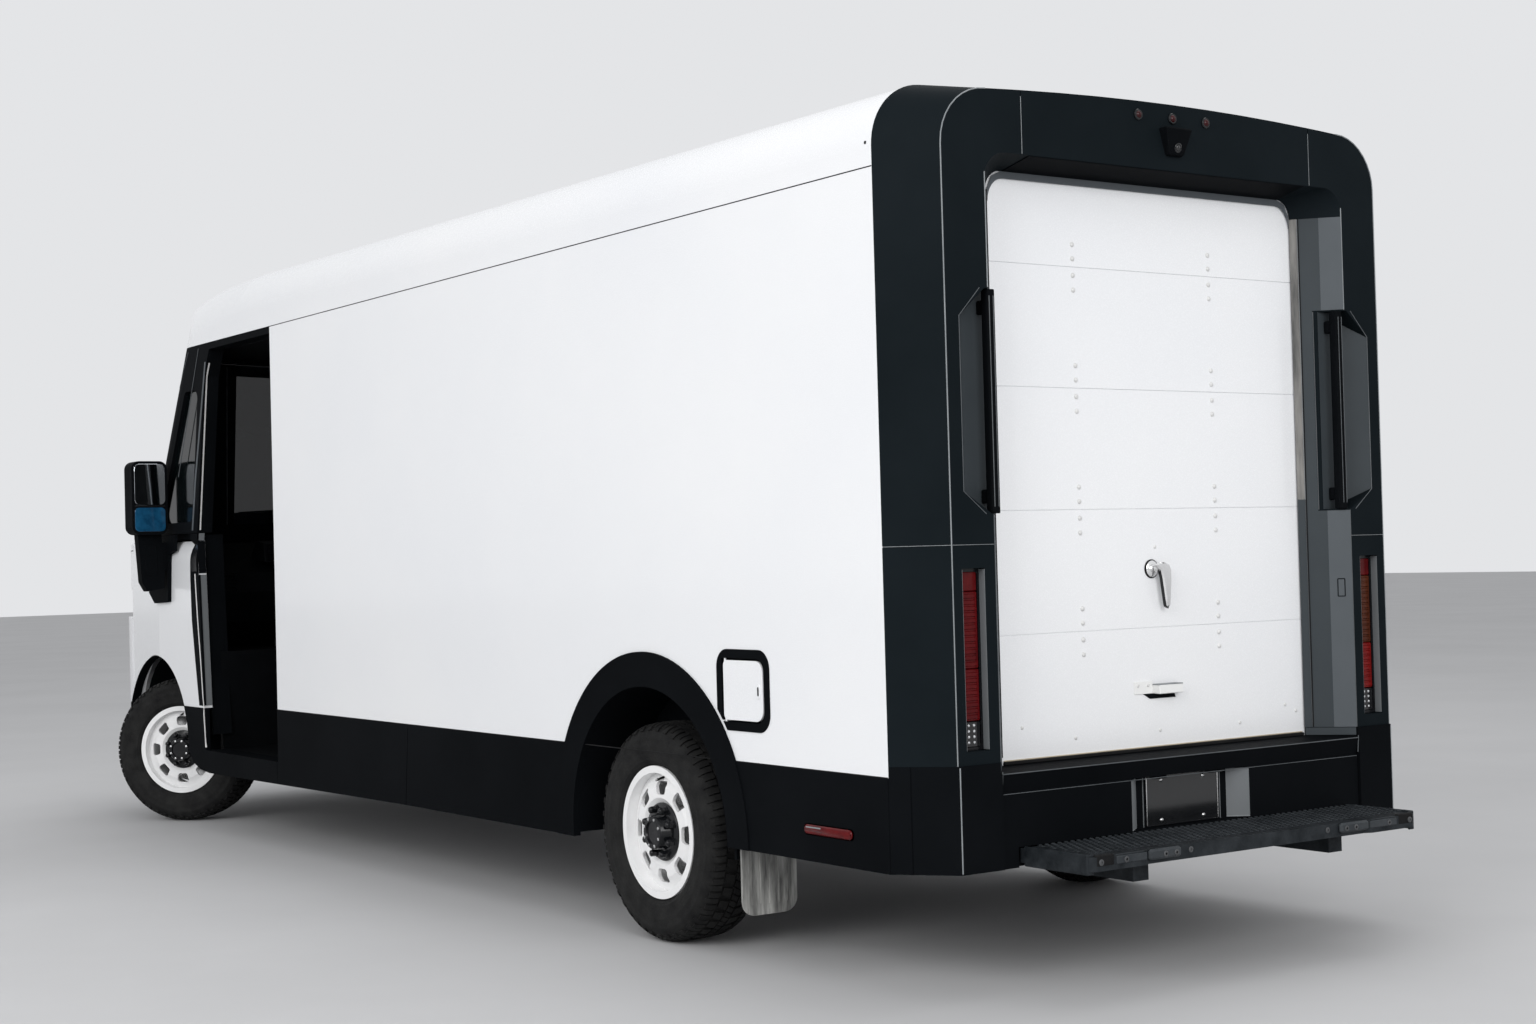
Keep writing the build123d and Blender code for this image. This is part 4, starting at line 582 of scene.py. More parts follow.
def door_linings():
    """What frames the door: a strip beside it with a painted sheen above, two grey zones of painted shade and
    light on each jamb, and the header's strip.
    """
    foot, head = PORTAL_FOOT + 1, DOOR_TOP - 62
    strips = Piece("door_strips")
    # The strip beside the door: dark below, and a painted sheen above, as lit.
    jamb_slab(strips, JAMB_DARK, 0, 25, 2.5, foot, SHEEN_FROM)
    jamb_slab(strips, JAMB_SHEEN, 0, 25, 2.5, SHEEN_FROM, head)
    jamb_slab(strips, RUBBER, 25.5, 29, 5, foot, head)
    strips.pair("body", "flap_rubber")
    panels = Piece("jamb_panels")
    edge = JAMB_LONG - 2
    # Each jamb's flat face in two tones, dark by the door and grey further out: painted shade and painted
    # light.
    for low, high, ends in ((foot, GRIP_LOW - 4, (92, edge)), (GRIP_LOW - 4, GRIP_HIGH + 4, (64, 0)),
                            (GRIP_HIGH + 4, head, (92, edge))):
        jamb_slab(panels, JAMB_DARK, 29.5, ends[0], 2, low, high)
        if ends[1]:
            jamb_slab(panels, JAMB_GREY, 92.2, ends[1], 2.6, low, high)
    panels.twin()
    # A black sheet under the header's underside: painted shadow.
    panels.prism(TRIM, [(DOOR_FACE - 8, DOOR_TOP + 0.2), (FACE + 1, DOOR_TOP + 24.6),
                        (FACE + 1, DOOR_TOP + 22.6), (DOOR_FACE - 8, DOOR_TOP - 1.8)], "y", -582, 582)
    bumper_top = span("rear_bumper")[1].z
    for hand in (1, -1):
        outline = [splay(2, 0.1), splay(edge - 2, 0.1), splay(edge - 2, 2), splay(2, 2)]
        panels.prism(JAMB_DARK, [(x, hand * y) for x, y in outline], "z", bumper_top - 24, bumper_top - 0.5)
    header = [(640, DOOR_TOP - 80)]
    for turn in (math.radians(15 * n) for n in range(7)):
        header.append((640 - 60 * (1 - math.cos(turn)), DOOR_TOP - 92 + 70 * math.sin(turn)))
    header += [(-y, z) for y, z in reversed(header)]
    rim = [(585, DOOR_TOP - 0.5), (622, DOOR_TOP - 16), (640, DOOR_TOP - 52)]
    header += [(-y, z) for y, z in reversed(rim)] + rim
    panels.prism(JAMB_GREY, header[::-1], "x", DOOR_FACE - 6.5, DOOR_FACE - 4.5)
    switch = [(splay(118, 2.8), 1085), (splay(140, 2.8), 1085), (splay(140, 2.8), 1141),
              (splay(118, 2.8), 1141)]
    for (one, z_one), (two, z_two) in zip(switch, switch[1:] + switch[:1]):
        panels.tube(TRIM, [(one[0], -one[1], z_one), (two[0], -two[1], z_two)], 1.6, 6)
    panels.done("body", "dark_trim")


def portal_edge_highlights():
    """Painted highlights: lighter lines where the mouldings fold or meet."""
    piece = Piece("portal_edge_highlights")
    x, y = CORNER
    top = [(x, ARC_Y + ARC_R * math.cos(math.radians(turn)), ARC_Z + ARC_R * math.sin(math.radians(turn)))
           for turn in range(0, 91, 10)]
    piece.tube(EDGE_HIGHLIGHT_AND_SHADE, [(x + 1, y - 1, PORTAL_FOOT + 1)] + top, 2.1, 6)
    piece.tube(EDGE_HIGHLIGHT_AND_SHADE, [(BUMPER_FACE + 1, 909, 366), (BUMPER_FACE + 1, 909, PORTAL_FOOT - 3)], 2.2, 6)
    piece.tube(EDGE_HIGHLIGHT_AND_SHADE, [(PORTAL_FRONT - 1, SIDE - 1.4, PORTAL_SEAM), (x + 0.6, y - 0.6, PORTAL_SEAM),
                      (x + 0.6, JAMB_OUT.y + 1, PORTAL_SEAM)], 0.9, 6)
    beam_seam = JAMB_OUT.y - 147
    piece.tube(EDGE_HIGHLIGHT_AND_SHADE, [(x + 0.6, beam_seam, DOOR_TOP + 28), (x + 0.6, beam_seam, 2566)], 1.0, 6)
    spot = splay(JAMB_LONG - 1, 1)
    piece.tube(EDGE_HIGHLIGHT_DIM, [(*spot, PORTAL_FOOT + 2), (*spot, GRIP_LOW - 3)], 1.6, 6)
    piece.tube(EDGE_HIGHLIGHT_AND_SHADE, [(*spot, GRIP_HIGH + 3), (*spot, DOOR_TOP - 34)], 1.8, 6)
    spot = splay(25, 3)
    piece.tube(EDGE_HIGHLIGHT_DIM, [(*spot, PORTAL_FOOT + 2), (*spot, SHEEN_FROM)], 1.4, 6)
    piece.tube(EDGE_HIGHLIGHT_AND_SHADE, [(*spot, SHEEN_FROM), (*spot, DOOR_TOP - 64)], 1.6, 6)
    piece.tube(EDGE_HIGHLIGHT_DIM, [(BUMPER_FACE + 6, JAMB_OUT.y - 2, 584),
                          (BUMPER_FACE + 2, JAMB_OUT.y - 2, 637)], 1.8, 6)
    piece.twin()
    piece.tube(EDGE_HIGHLIGHT_DIM, [(BUMPER_FACE + 8, -748, 572), (BUMPER_FACE + 8, 748, 572)], 1.2, 6)
    piece.tube(EDGE_HIGHLIGHT_DIM, [(BUMPER_FACE + 0.5, -752, 630), (BUMPER_FACE + 0.5, 752, 630)], 1.6, 6)
    piece.done("body", "dark_trim")


def grip_recesses():
    """The hand grips: a slim bar with two painted highlight lines, the recess's floor and slanted side in
    painted light, and a painted highlight on the rim.
    """
    piece = Piece("grip_recesses")
    floor, outer = FACE + 64, 861
    # The recess's floor and sides in a grey lighter than the black trim: painted light.
    piece.box(JAMB_DARK, (floor - 2, 700, GRIP_LOW + 1), (floor - 0.3, 804, GRIP_HIGH - 1))
    rows = ((804, GRIP_LOW + 2, GRIP_HIGH - 2, floor - 2), (806, GRIP_LOW + 28, GRIP_HIGH - 36, floor - 3),
            (outer, GRIP_LOW + 65, GRIP_HIGH - 83, FACE + 2))
    piece.stack(JAMB_DARK, [[(x, y, low), (x, y, high), (x + 1.8, y, high), (x + 1.8, y, low)]
                            for y, low, high, x in rows])
    rim = [(781, GRIP_LOW), (862, GRIP_LOW + 64), (862, GRIP_HIGH - 82), (784, GRIP_HIGH)]
    # Lines of painted highlight along the rim.
    piece.tube(EDGE_HIGHLIGHT_DIM, [(FACE + 0.6, y, z) for y, z in rim], 1.6, 6)
    spot = splay(66, 0.6)
    piece.tube(EDGE_HIGHLIGHT_DIM, [(*spot, GRIP_LOW), (*spot, GRIP_HIGH)], 1.6, 6)
    piece.pair("body", "dark_trim")
    bars = Piece("grip_bars")
    low, high = span("grab_handles")
    middle, x = 736, low.x
    outline = [(px + low.x + 17, py + middle) for px, py in rounded(-17, 17, -15, 15, 9, 4)]
    bars.prism(TRIM, outline, "z", low.z + 1, high.z - 1, 2)
    # Two lines of painted highlight down the bar.
    for off in (-6, 9):
        bars.tube(EDGE_HIGHLIGHT_DIM, [(x + 0.4, middle + off, low.z + 20), (x + 0.4, middle + off, high.z - 20)], 1.5, 6)
    for z in (low.z + 50, high.z - 50):
        bars.box(TRIM, (x + 20, middle - 11, z - 20), (high.x - 2.4, middle + 11, z + 20), 3)
    bars.pair("body", "dark_trim", ("grab_handles",))


def rear_door_fittings():
    """Rivets in columns, greyed for painted shade, the seals at the door's foot, its pull and its locking
    handle, both with painted shadows.
    """
    face = DOOR_FACE
    out = (-1, 0, 0)
    piece = Piece("rear_door_rivets")
    for seam in RIVET_SEAMS:
        for y in RIVET_Y:
            for rise in (-69, -25, 25, 68):
                piece.dome(RIVET_SHADED, (face - 0.1, y, seam + rise), out, 8, 5, 12, 3)
    for y, z in ((350, 698), (0, 698), (-350, 698), (-560, 742), (-610, 720), (560, 742), (0, 1260)):
        piece.dome(RIVET_SHADED, (face - 0.1, y, z), out, 6, 3.4, 12, 3)
    piece.done("body", "white_paint")
    foot = Piece("rear_door_seal")
    low = DOOR_LOW.z
    foot.box(RUBBER, (face - 10, -638, low + 0.2), (face - 0.2, 638, low + 10), 2)
    foot.box(SEAL, (face - 5, -636, low + 10.2), (face - 0.2, 636, low + 14), 1.5)
    foot.done("body", "flap_rubber")
    pull = Piece("rear_door_pull")
    pull.box(DOOR_WHITE, (face - 3, 29, 812), (face - 0.2, 106, 850), 0.8)
    pull.box(DOOR_WHITE, (face - 34, -72, 811), (face - 0.2, 29, 838), 2)
    # A grey line on the lip's top and a dark plate on the door under the lip: painted shadow.
    pull.box(EDGE_HIGHLIGHT_AND_SHADE, (face - 33, -72, 838.1), (face - 0.2, 29, 841), 0.8)
    pull.prism(TRIM, [(68, 811.5), (-63, 810.8), (-68, 796), (40, 796)], "x", face - 3, face - 0.2, 0.5)
    for y in (48, 92):
        pull.dome(RIVET_SHADED, (face - 3, y, 838), out, 6, 3, 12, 3)
    pull.done("body", "white_paint")
    lock = Piece("rear_door_handle")
    # The dark ring under the escutcheon: a painted shadow gap.
    lock.lathe(RUBBER, (face - 0.2, 18, 1193), out, [(29, 0), (29, 2.5), (20, 2.6)], 32)
    lock.lathe(CHROME, (face - 0.2, 16, 1193), out, [(25.5, 0), (25.5, 3.5), (21, 7), (12, 8), (12, 22),
                                                     (2, 23)], 32)
    blade = [(24, 1204), (6, 1188), (0, 1168), (-6, 1132), (-11, 1097), (-15, 1078), (-24, 1074), (-31, 1082),
             (-34, 1111), (-38, 1150), (-39, 1188), (-31, 1204), (-12, 1212), (12, 1213)]
    lock.prism(CHROME, blade, "x", face - 33, face - 21, 4)
    # A dark strip along the lever's left edge: painted shadow.
    shade = [(y + 4, z - 1) for y, z in blade[1:6]] + [(y - 1, z - 4) for y, z in blade[5:7]] + [
        (y, z) for y, z in reversed(blade[1:7])]
    lock.prism(TRIM_SMOOTH, shade, "x", face - 28, face - 20)
    lock.done("body", "floor_metal")


def tail_lights():
    """Tall sunken lenses: dark red at the top, a brown indicator, the red lamp and diodes at the foot; the left
    lamp's indicator and lamp are deep red, as painted shade.
    """
    x_face, x_back = LAMPS_LOW.x, LAMPS_HIGH.x
    y0, y1, z0, z1 = LAMPS_HIGH.y - 70, LAMPS_HIGH.y, LAMPS_LOW.z, LAMPS_HIGH.z
    red = Piece("tail_lamp_lenses")
    # The left lamp darker and the right lamp lighter, for lenses that are alike: painted shade and painted
    # light.
    for hand, middle, lowest in ((1, LENS_DEEP, LENS_DEEP), (-1, LENS_BROWN, LENS_LIT_RED)):
        near, far = sorted((hand * (y0 + 3), hand * (y1 - 3)))
        for look, low, high in ((LENS_DEEP, z1 - 57, z1 - 3), (middle, z0 + 224, z1 - 59),
                                (lowest, z0 + 77, z0 + 222), (SCREEN, z0 + 3, z0 + 75)):
            red.prism(look, rounded(near, far, low, high, 4), "x", x_face + 3, x_back, 2)
        for number in range(8):
            z = z0 + 82 + number * 17
            red.box(lowest, (x_face + 0.8, near + 7, z), (x_face + 4, far - 7, z + 12), 1.5)
        for number in range(12):
            z = z0 + 230 + number * 17.4
            red.box(middle, (x_face + 0.8, near + 7, z), (x_face + 4, far - 7, z + 12.5), 1.5)
    red.done("body", "red_lens", ("tail_lamps",))
    foot = Piece("tail_lamp_diodes")
    for row in range(4):
        for column in range(2):
            foot.dome(CLEAR, (x_face + 3.2, y0 + 26 + 20 * column, z0 + 16 + 16 * row), (-1, 0, 0),
                      4.5, 3, 10, 3)
    foot.pair("body", "clear_lens")
    rims = Piece("tail_lamp_rims")
    outer = rounded(y0 - 6.6, y1 + 6.6, z0 - 6.6, z1 + 6.6, 4, 2)
    inner = rounded(y0 + 3, y1 - 3, z0 + 3, z1 - 3, 8, 2)
    for a, b, c, d in zip(outer, outer[1:] + outer[:1], inner[1:] + inner[:1], inner):
        rims.stack(TRIM_SMOOTH, [[(x, y, z) for y, z in (a, b, c, d)] for x in (x_face + 6, x_face + 1)])
    # Pale strips on the pockets' side walls: painted light.
    for side in (y0 - 6.8, y1 + 5):
        rims.box(JAMB_LIGHT, (FACE + 1, side, z0 - 4), (x_face + 6, side + 1.8, z1 + 4))
    rims.pair("body", "dark_trim")


def roof_lights():
    """Three red domes in dark bezels, and the camera's housing with its lens."""
    low, high = span("roof_lamps")
    out, z = (-1, 0, 0), high.z - 17
    domes = Piece("marker_domes")
    bezels = Piece("marker_bezels")
    for y in (-143, 0, 143):
        bezels.lathe(TRIM_SMOOTH, (FACE - 0.2, y, z), out, [(17, 0), (17, 4), (15, 6), (11, 6), (11, 2)], 24)
        domes.dome(RED, (FACE - 2, y, z), out, 12.5, 9.5, 24, 5)
    domes.done("body", "red_lens", ("roof_lamps",))
    bezels.done("body", "dark_trim")
    camera_box = Piece("rear_camera")
    foot, tall = low.z, 83
    loops = []
    for share in (0, 0.06, 0.5, 0.94, 1):
        height = foot + tall * share
        half = 32 + 24 * share - (3 if share in (0, 1) else 0)
        deep = 17 + 17 * share - (4 if share in (0, 1) else 0)
        loops.append([(FACE - 0.3, half, height), (FACE - deep + 3, half - 1, height),
                      (FACE - deep, half - 5, height), (FACE - deep, 5 - half, height),
                      (FACE - deep + 3, 1 - half, height), (FACE - 0.3, -half, height)])
    camera_box.stack(TRIM, loops)
    down = (-1, 0, -0.25)
    camera_box.lathe(TRIM_SMOOTH, (FACE - 18, 0, foot + 24), down, [(15, 0), (15, 6), (12, 7.5), (9, 6)], 24)
    camera_box.dome(SCREEN, (FACE - 23, 0, foot + 22.8), down, 9, 4, 20, 4)
    camera_box.done("body", "dark_trim")


door_linings()
portal_edge_highlights()
grip_recesses()
rear_door_fittings()
tail_lights()
roof_lights()


# ---------------------------------------------------------------- bumper, step, plate, flaps
STEP_LOW, STEP_HIGH = span("rear_step")


def step_fittings():
    """Grip studs on the step, end plates, and rubber bars with their bolts along its rear edge."""
    top, tip, half = STEP_HIGH.z, STEP_LOW.x, STEP_HIGH.y
    grip = Piece("step_grip")
    front = BUMPER_FACE + 6
    rows = int((front - tip - 30) / 24)
    for row in range(rows):
        x = tip + 28 + row * 24
        for column in range(-27, 28):
            y = column * 24.5 + row % 2 * 12
            if abs(y) < half - 16:
                grip.lathe(GRIP, (x, y, top - 0.1), (0, 0, 1),
                           [(7.5, 0), (5.5, 2.6), (3.2, 2.6), (2.6, 1.0)], 6)
    grip.done("body", "dark_trim")
    edge = Piece("step_buffers")
    for hand in (1, -1):
        ends = Vector((1, hand, 1))
        for y0, y1 in ((335, 462), (468, 592)):
            edge.box(BUFFER, Vector((tip - 2, y0, top - 38)) * ends, Vector((tip + 14, y1, top - 8)) * ends, 6)
        edge.box(RUBBER, Vector((tip - 1, 596, top - 36)) * ends, Vector((tip + 16, 664, top - 4)) * ends, 3)
        edge.box(GRIP, Vector((tip + 14, half - 3, top - 58)) * ends,
                 Vector((BUMPER_FACE - 3, half + 3, top - 1)) * ends, 2)
        edge.box(GRIP, Vector((tip + 12, half - 24, top - 58)) * ends,
                 Vector((tip + 18, half + 1, top - 2)) * ends, 2)
        for y in (288, 358, 400, 552, 647):
            edge.lathe(BOLT, (tip + (-1 if y > 300 else 12.5), hand * y, top - 24), (-1, 0, 0),
                       [(9, -2), (9, 2), (6.5, 3.2), (3.6, 3.2), (3.2, 1)], 12)
    edge.done("body", "flap_rubber")


def plate_frame():
    """Thin bright edges on the blank plate, its four bolts, its lamps, and the recess's sides, pale for painted
    light with a painted highlight at their foot.
    """
    low, high = span("number_plate")
    x = low.x
    frame_piece = Piece("plate_frame")
    for y0, y1, z0, z1 in ((low.y, high.y, high.z - 3.5, high.z), (low.y, low.y + 3.5, low.z + 3, high.z - 4),
                           (high.y - 3.5, high.y, low.z + 3, high.z - 4)):
        frame_piece.box(STEEL, (x - 2.2, y0, z0), (x - 0.1, y1, z1), 0.6)
    frame_piece.box(TRIM_SMOOTH, (x - 2, low.y, low.z), (x - 0.1, high.y, low.z + 3), 0.6)
    for y in (-163, 163):
        frame_piece.box(JAMB_LIGHT, (x + 1.4, y - 1.6, low.z), (x + 2.9, y + 1.6, high.z))
    frame_piece.done("body", "dark_trim")
    bolts = Piece("plate_screws")
    middle = (low.z + high.z) / 2
    for y in (-88.9, 88.9):
        for z in (middle - 60.35, middle + 60.35):
            bolts.dome(STEEL, (x - 0.1, y, z), (-1, 0, 0), 7, 3.4, 12, 3)
            bolts.rod(STEEL, (x - 0.2, y, z), (x + 16, y, z), 3.2, 10)
    bolts.done("body", "floor_metal")
    lamp = Piece("plate_lamps")
    for y in (-118, 118):
        lamp.box(TRIM_SMOOTH, (BUMPER_FACE + 18, y - 28, middle + 69),
                 (BUMPER_FACE + 40, y + 28, middle + 76.5), 2)
    # The recess's side walls: pale for painted light, with a line of painted highlight at the foot.
    for hand in (1, -1):
        side = [(x + 2, hand * 193), (BUMPER_FACE + 9, hand * 249.5), (BUMPER_FACE + 9, hand * 247.5),
                (x + 2, hand * 191)]
        lamp.prism(JAMB_LIGHT, side, "z", middle - 72, middle + 74)
        lamp.prism(EDGE_HIGHLIGHT_AND_SHADE, side, "z", middle - 75, middle - 72)
    lamp.done("body", "dark_trim")


def flaps():
    """Mud flaps with round lower corners, ribs and a clamp strip at the head."""
    low, high = span("mud_flaps")
    piece = Piece("mud_flap_sheets")
    y0, y1 = high.y - 213, high.y - 4
    outline = rounded(y0, y1, low.z, high.z + 60, 46, 6)
    outline = [(y, min(z, high.z)) for y, z in outline]
    piece.prism(FLAP, outline, "x", low.x, high.x, 1.2)
    for number in range(5):
        y = y0 + 34 + 34 * number
        piece.box(FLAP, (low.x - 2.4, y, low.z + 34), (low.x + 0.5, y + 7, high.z - 40), 1)
    piece.box(FRAME_STEEL, (low.x - 5, y0 + 2, high.z - 30), (low.x + 0.2, y1 - 2, high.z - 8), 1.5)
    for number in range(4):
        piece.bolt(STEEL, (low.x - 5, y0 + 28 + number * 50, high.z - 19), (-1, 0, 0), 6, 6)
    piece.pair("body", "flap_rubber", ("mud_flaps",))


def markers():
    """Rounded side marker lenses on dark bases, with a line of painted highlight near the top."""
    low, high = span("side_markers")
    base = high.y - 9
    middle = (low.z + high.z) / 2
    piece = Piece("side_marker_lenses")
    piece.prism(TRIM, rounded(low.x - 2, high.x + 2, middle - 18, middle + 18, 17, 6), "y", base - 0.3,
                base + 3, 1)
    piece.prism(LENS_DEEP, rounded(low.x + 5, high.x - 5, middle - 14, middle + 14, 14, 6), "y",
                base + 0.5, high.y, 3)
    # A line of painted highlight on the lens.
    piece.prism(EDGE_HIGHLIGHT_AND_SHADE, rounded(high.x - 90, high.x - 16, middle + 5, middle + 9, 2, 2), "y", high.y - 0.4,
                high.y + 0.4)
    piece.pair("body", "red_lens", ("side_markers",))


step_fittings()
plate_frame()
flaps()
markers()


# ---------------------------------------------------------------- sides
ROOF_EDGE = span("roof_panel")[0].z
WALL_LOW, WALL_HIGH = span("side_wall_left")
CHARGE_LOW, CHARGE_HIGH = span("charge_door")


def seams():
    """Dark joints between wall and roof and along the walls' foot, and a plug in the roof by the portal."""
    piece = Piece("body_seams")
    rear, front = WALL_LOW.x + 1, WALL_HIGH.x - 1
    for low, high in ((ROOF_EDGE - 3.6, ROOF_EDGE - 0.4), (WALL_LOW.z - 0.2, WALL_LOW.z + 3.2)):
        piece.box(RUBBER, (rear, SIDE - 2, low), (front, SIDE + 0.5, high))
    piece.dome(RUBBER, (rear + 26, SIDE - 0.2, ROOF_EDGE + 68), (0, 1, 0), 5, 2, 12, 3)
    piece.pair("body", "dark_trim")


def charge_fittings():
    """Latch of the charge door, and the plug's pins behind it."""
    latch = Piece("charge_latch")
    x, z = CHARGE_LOW.x + 22, (CHARGE_LOW.z + CHARGE_HIGH.z) / 2
    y = CHARGE_HIGH.y
    latch.prism(WHITE, rounded(x - 9, x + 9, z - 24, z + 24, 9, 5), "y", y - 0.2, y + 2.2, 1)
    latch.prism(TRIM_SMOOTH, rounded(x - 4, x + 4, z - 14, z + 14, 4, 4), "y", y + 2, y + 3, 0.4)
    latch.done("charge_door", "dark_trim")
    low, high = span("charge_socket")
    pins = Piece("charge_pins")
    middle = (low.x + high.x) / 2
    for dx, dz in ((-12, 34), (12, 34), (-15, 18), (15, 18), (0, 10)):
        pins.rod(STEEL, (middle + dx, low.y + 6, high.z - 66 + dz),
                 (middle + dx, low.y + 20, high.z - 66 + dz), 4, 10)
    for dx in (-13, 13):
        pins.rod(STEEL, (middle + dx, high.y - 2, low.z + 32), (middle + dx, high.y + 3, low.z + 32), 8, 14)
    pins.done("body", "floor_metal")


seams()
charge_fittings()


# ---------------------------------------------------------------- cab openings, doors and mirrors
SILL = span("door_right")[0].z - 6.3
SILL_REAR, SILL_FRONT = 3166, 4049
BELT = 1450                   # height of the windows' and the windscreen's foot
ARCH_X, ARCH_R = 4770, 476    # the front arch, just inside its lip
HANDLE_LOW, HANDLE_HIGH = 1190, 1236
MIRROR_X, PADDLE_X = 4465, 4513  # rear faces of the mirror's head and of its arm
# side view of the door opening's front edge, from the sill up
OPENING_EDGE = [(4057, 404), (4061, 470), (4077, 600), (4132, 1415), (3990, 2200), (3915, 2325)]


def edge_band(piece, look, ahead, thick, y0, y1, low, high):
    """A strip that follows the opening's front edge, ahead of it by ahead, between two heights."""
    rear, front = [], []
    for (xa, za), (xb, zb) in zip(OPENING_EDGE, OPENING_EDGE[1:]):
        if zb <= low or za >= high:
            continue
        for z in (max(za, low), min(zb, high)):
            x = xa + (xb - xa) * (z - za) / (zb - za)
            if not rear or abs(rear[-1][1] - z) > 0.5:
                rear.append((x + ahead, z))
                front.append((x + ahead + thick, z))
    piece.prism(look, rear + front[::-1], "y", y0, y1)


def side_y(node, x, z):
    """Where a ray from the van's left first meets a CAD node, or its plain side."""
    solid = NODES[node]
    start = solid.matrix_world.inverted() @ (AXLE @ Vector((x, SIDE + 300, z)))
    hit, spot, _, _ = solid.ray_cast(start, Vector((0, -1, 0)))
    return (AXLE.inverted() @ (solid.matrix_world @ spot)).y if hit else SIDE


def side_strip(piece, look, node, rows, thick):
    """A strip on a node's left face through rows of (rear x, front x, z), cut fine enough to follow its bow."""
    fine = []
    for (r0, f0, z0), (r1, f1, z1) in zip(rows, rows[1:]):
        steps = max(1, round(abs(z1 - z0) / 26))
        fine += [(r0 + (r1 - r0) * n / steps, f0 + (f1 - f0) * n / steps, z0 + (z1 - z0) * n / steps)
                 for n in range(steps)]
    loops = []
    for rear, front, z in fine + [rows[-1]]:
        across = [rear + (front - rear) * n / 4 for n in range(5)]
        faces = [side_y(node, x, z) for x in across]
        faces[0] = max(faces[0], faces[1] - 1) if faces[0] != SIDE else faces[1]
        loops.append([(x, y - 0.4, z) for x, y in zip(across, faces)]
                     + [(x, y + thick, z) for x, y in reversed(list(zip(across, faces)))])
    piece.stack(look, loops)


def front_jambs():
    """Trim on the opening's front edge: black band, pale strips of painted reflection, painted highlight lines
    on the pillar, pale return and latch.
    """
    piece = Piece("door_jambs")
    band = ((4072, 4142, 610), (4077, 4150, 644), (4088, 4187, 831), (4102, 4222, 1025), (4116, 4231, 1221),
            (4127, 4226, 1392), (4124, 4222, 1446))
    side_strip(piece, TRIM, "front_fenders", band, 1.8)
    # Pale strips of painted reflection along the edge.
    strip = ((4084, 4092, 646), (4106, 4115, 832), (4134, 4144, 1026), (4156, 4166, 1221), (4158, 4168, 1250))
    side_strip(piece, BRIGHT_REFLECTION, "front_fenders", strip, 3.2)
    side_strip(piece, BRIGHT_REFLECTION, "skirt_left", ((4054, 4061, 412), (4059, 4066, 470), (4074, 4081, 600),
                                             (4084, 4091, 646)), 3.2)
    edge_band(piece, JAMB_LIGHT, -2.4, 1.4, SIDE - 36, SIDE - 8, 1412, 1447)
    side_strip(piece, JAMB_GREY, "windscreen_frame", ((4180, 4198, 1462), (4125, 4143, 1707),
                                                      (4039, 4057, 1994), (3960, 3976, 2268)), 1.4)
    # Lines of painted highlight on the pillar.
    for start, end in (((4193, 2334), (4344, 2172)), ((4054, 2340), (4371, 1732))):
        points = [(start[0] + (end[0] - start[0]) * n / 6, start[1] + (end[1] - start[1]) * n / 6)
                  for n in range(7)]
        piece.tube(EDGE_HIGHLIGHT_DIM, [(x, side_y("windscreen_frame", x, z) + 0.3, z) for x, z in points], 2.2, 6)
    # A pale strip of painted reflection up the pillar's edge.
    edge_band(piece, BRIGHT_REFLECTION, -1.8, 1.6, SIDE - 17.5, SIDE - 11, 1462, 2262)
    edge_band(piece, JAMB_LIGHT, -1.6, 1.4, SIDE - 39, SIDE - 9, 612, 1245)
    edge_band(piece, TRIM, -3.4, 3.2, SIDE - 9, SIDE + 0.6, 612, 1245)
    edge_band(piece, TRIM, -2.0, 1.8, SIDE - 39, SIDE - 2, 1252, 1408)
    edge_band(piece, TRIM, 14, 16, SIDE - 40.3, SIDE - 136, 470, 1440)
    edge_band(piece, RUBBER, 12, 14, SIDE - 62, SIDE - 74.8, 1452, 2296)
    latch = ((4122, 4196, 1262), (4127, 4206, 1300), (4130, 4204, 1372), (4129, 4186, 1398))
    side_strip(piece, TRIM_SMOOTH, "front_fenders", latch, 9)
    piece.pair("body", "cab_plastic")
    arch = Piece("front_arch_trim")
    ring = [(ARCH_X + radius * math.cos(math.radians(turn)), TYRE_R + radius * math.sin(math.radians(turn)))
            for radius, turns in ((ARCH_R, range(8, 151, 6)), (ARCH_R - 2.5, range(146, 7, -6)))
            for turn in turns]
    arch.prism(TRIM, ring, "y", SIDE - 58, SIDE - 14)
    arch.pair("body", "dark_trim")
    sill = Piece("sill_treads")
    for inner, outer in ((20, 3), (94, 78)):
        sill.box(JAMB_GREY, (SILL_REAR, SIDE - inner, SILL + 0.1), (SILL_FRONT, SIDE - outer, SILL + 2.0), 0.8)
    sill.pair("body", "dark_trim")
    head = Piece("door_header_tracks")
    head.box(FRAME_STEEL, (SILL_REAR, SIDE - 97, 2331), (3900, SIDE - 76, 2350), 2)
    head.pair("body", "frame_steel")


def window_ring(name, low, high, hand, body):
    """Rubber round a door window, inside the door's thickness."""
    middle = (low.y + high.y) / 2
    outer = [(low.x, low.z), (high.x, low.z), (high.x, BELT), (high.x - 140, high.z), (low.x, high.z)]
    piece = Piece(name)
    near, far = inset(outer, 0.5), inset(outer, 15.5)
    for a, b, c, d in zip(near, near[1:] + near[:1], far[1:] + far[:1], far):
        piece.prism(RUBBER, [a, b, c, d], "y", *sorted((middle + hand * 4.4, middle + hand * 11.4)))
    piece.done(body, "flap_rubber")


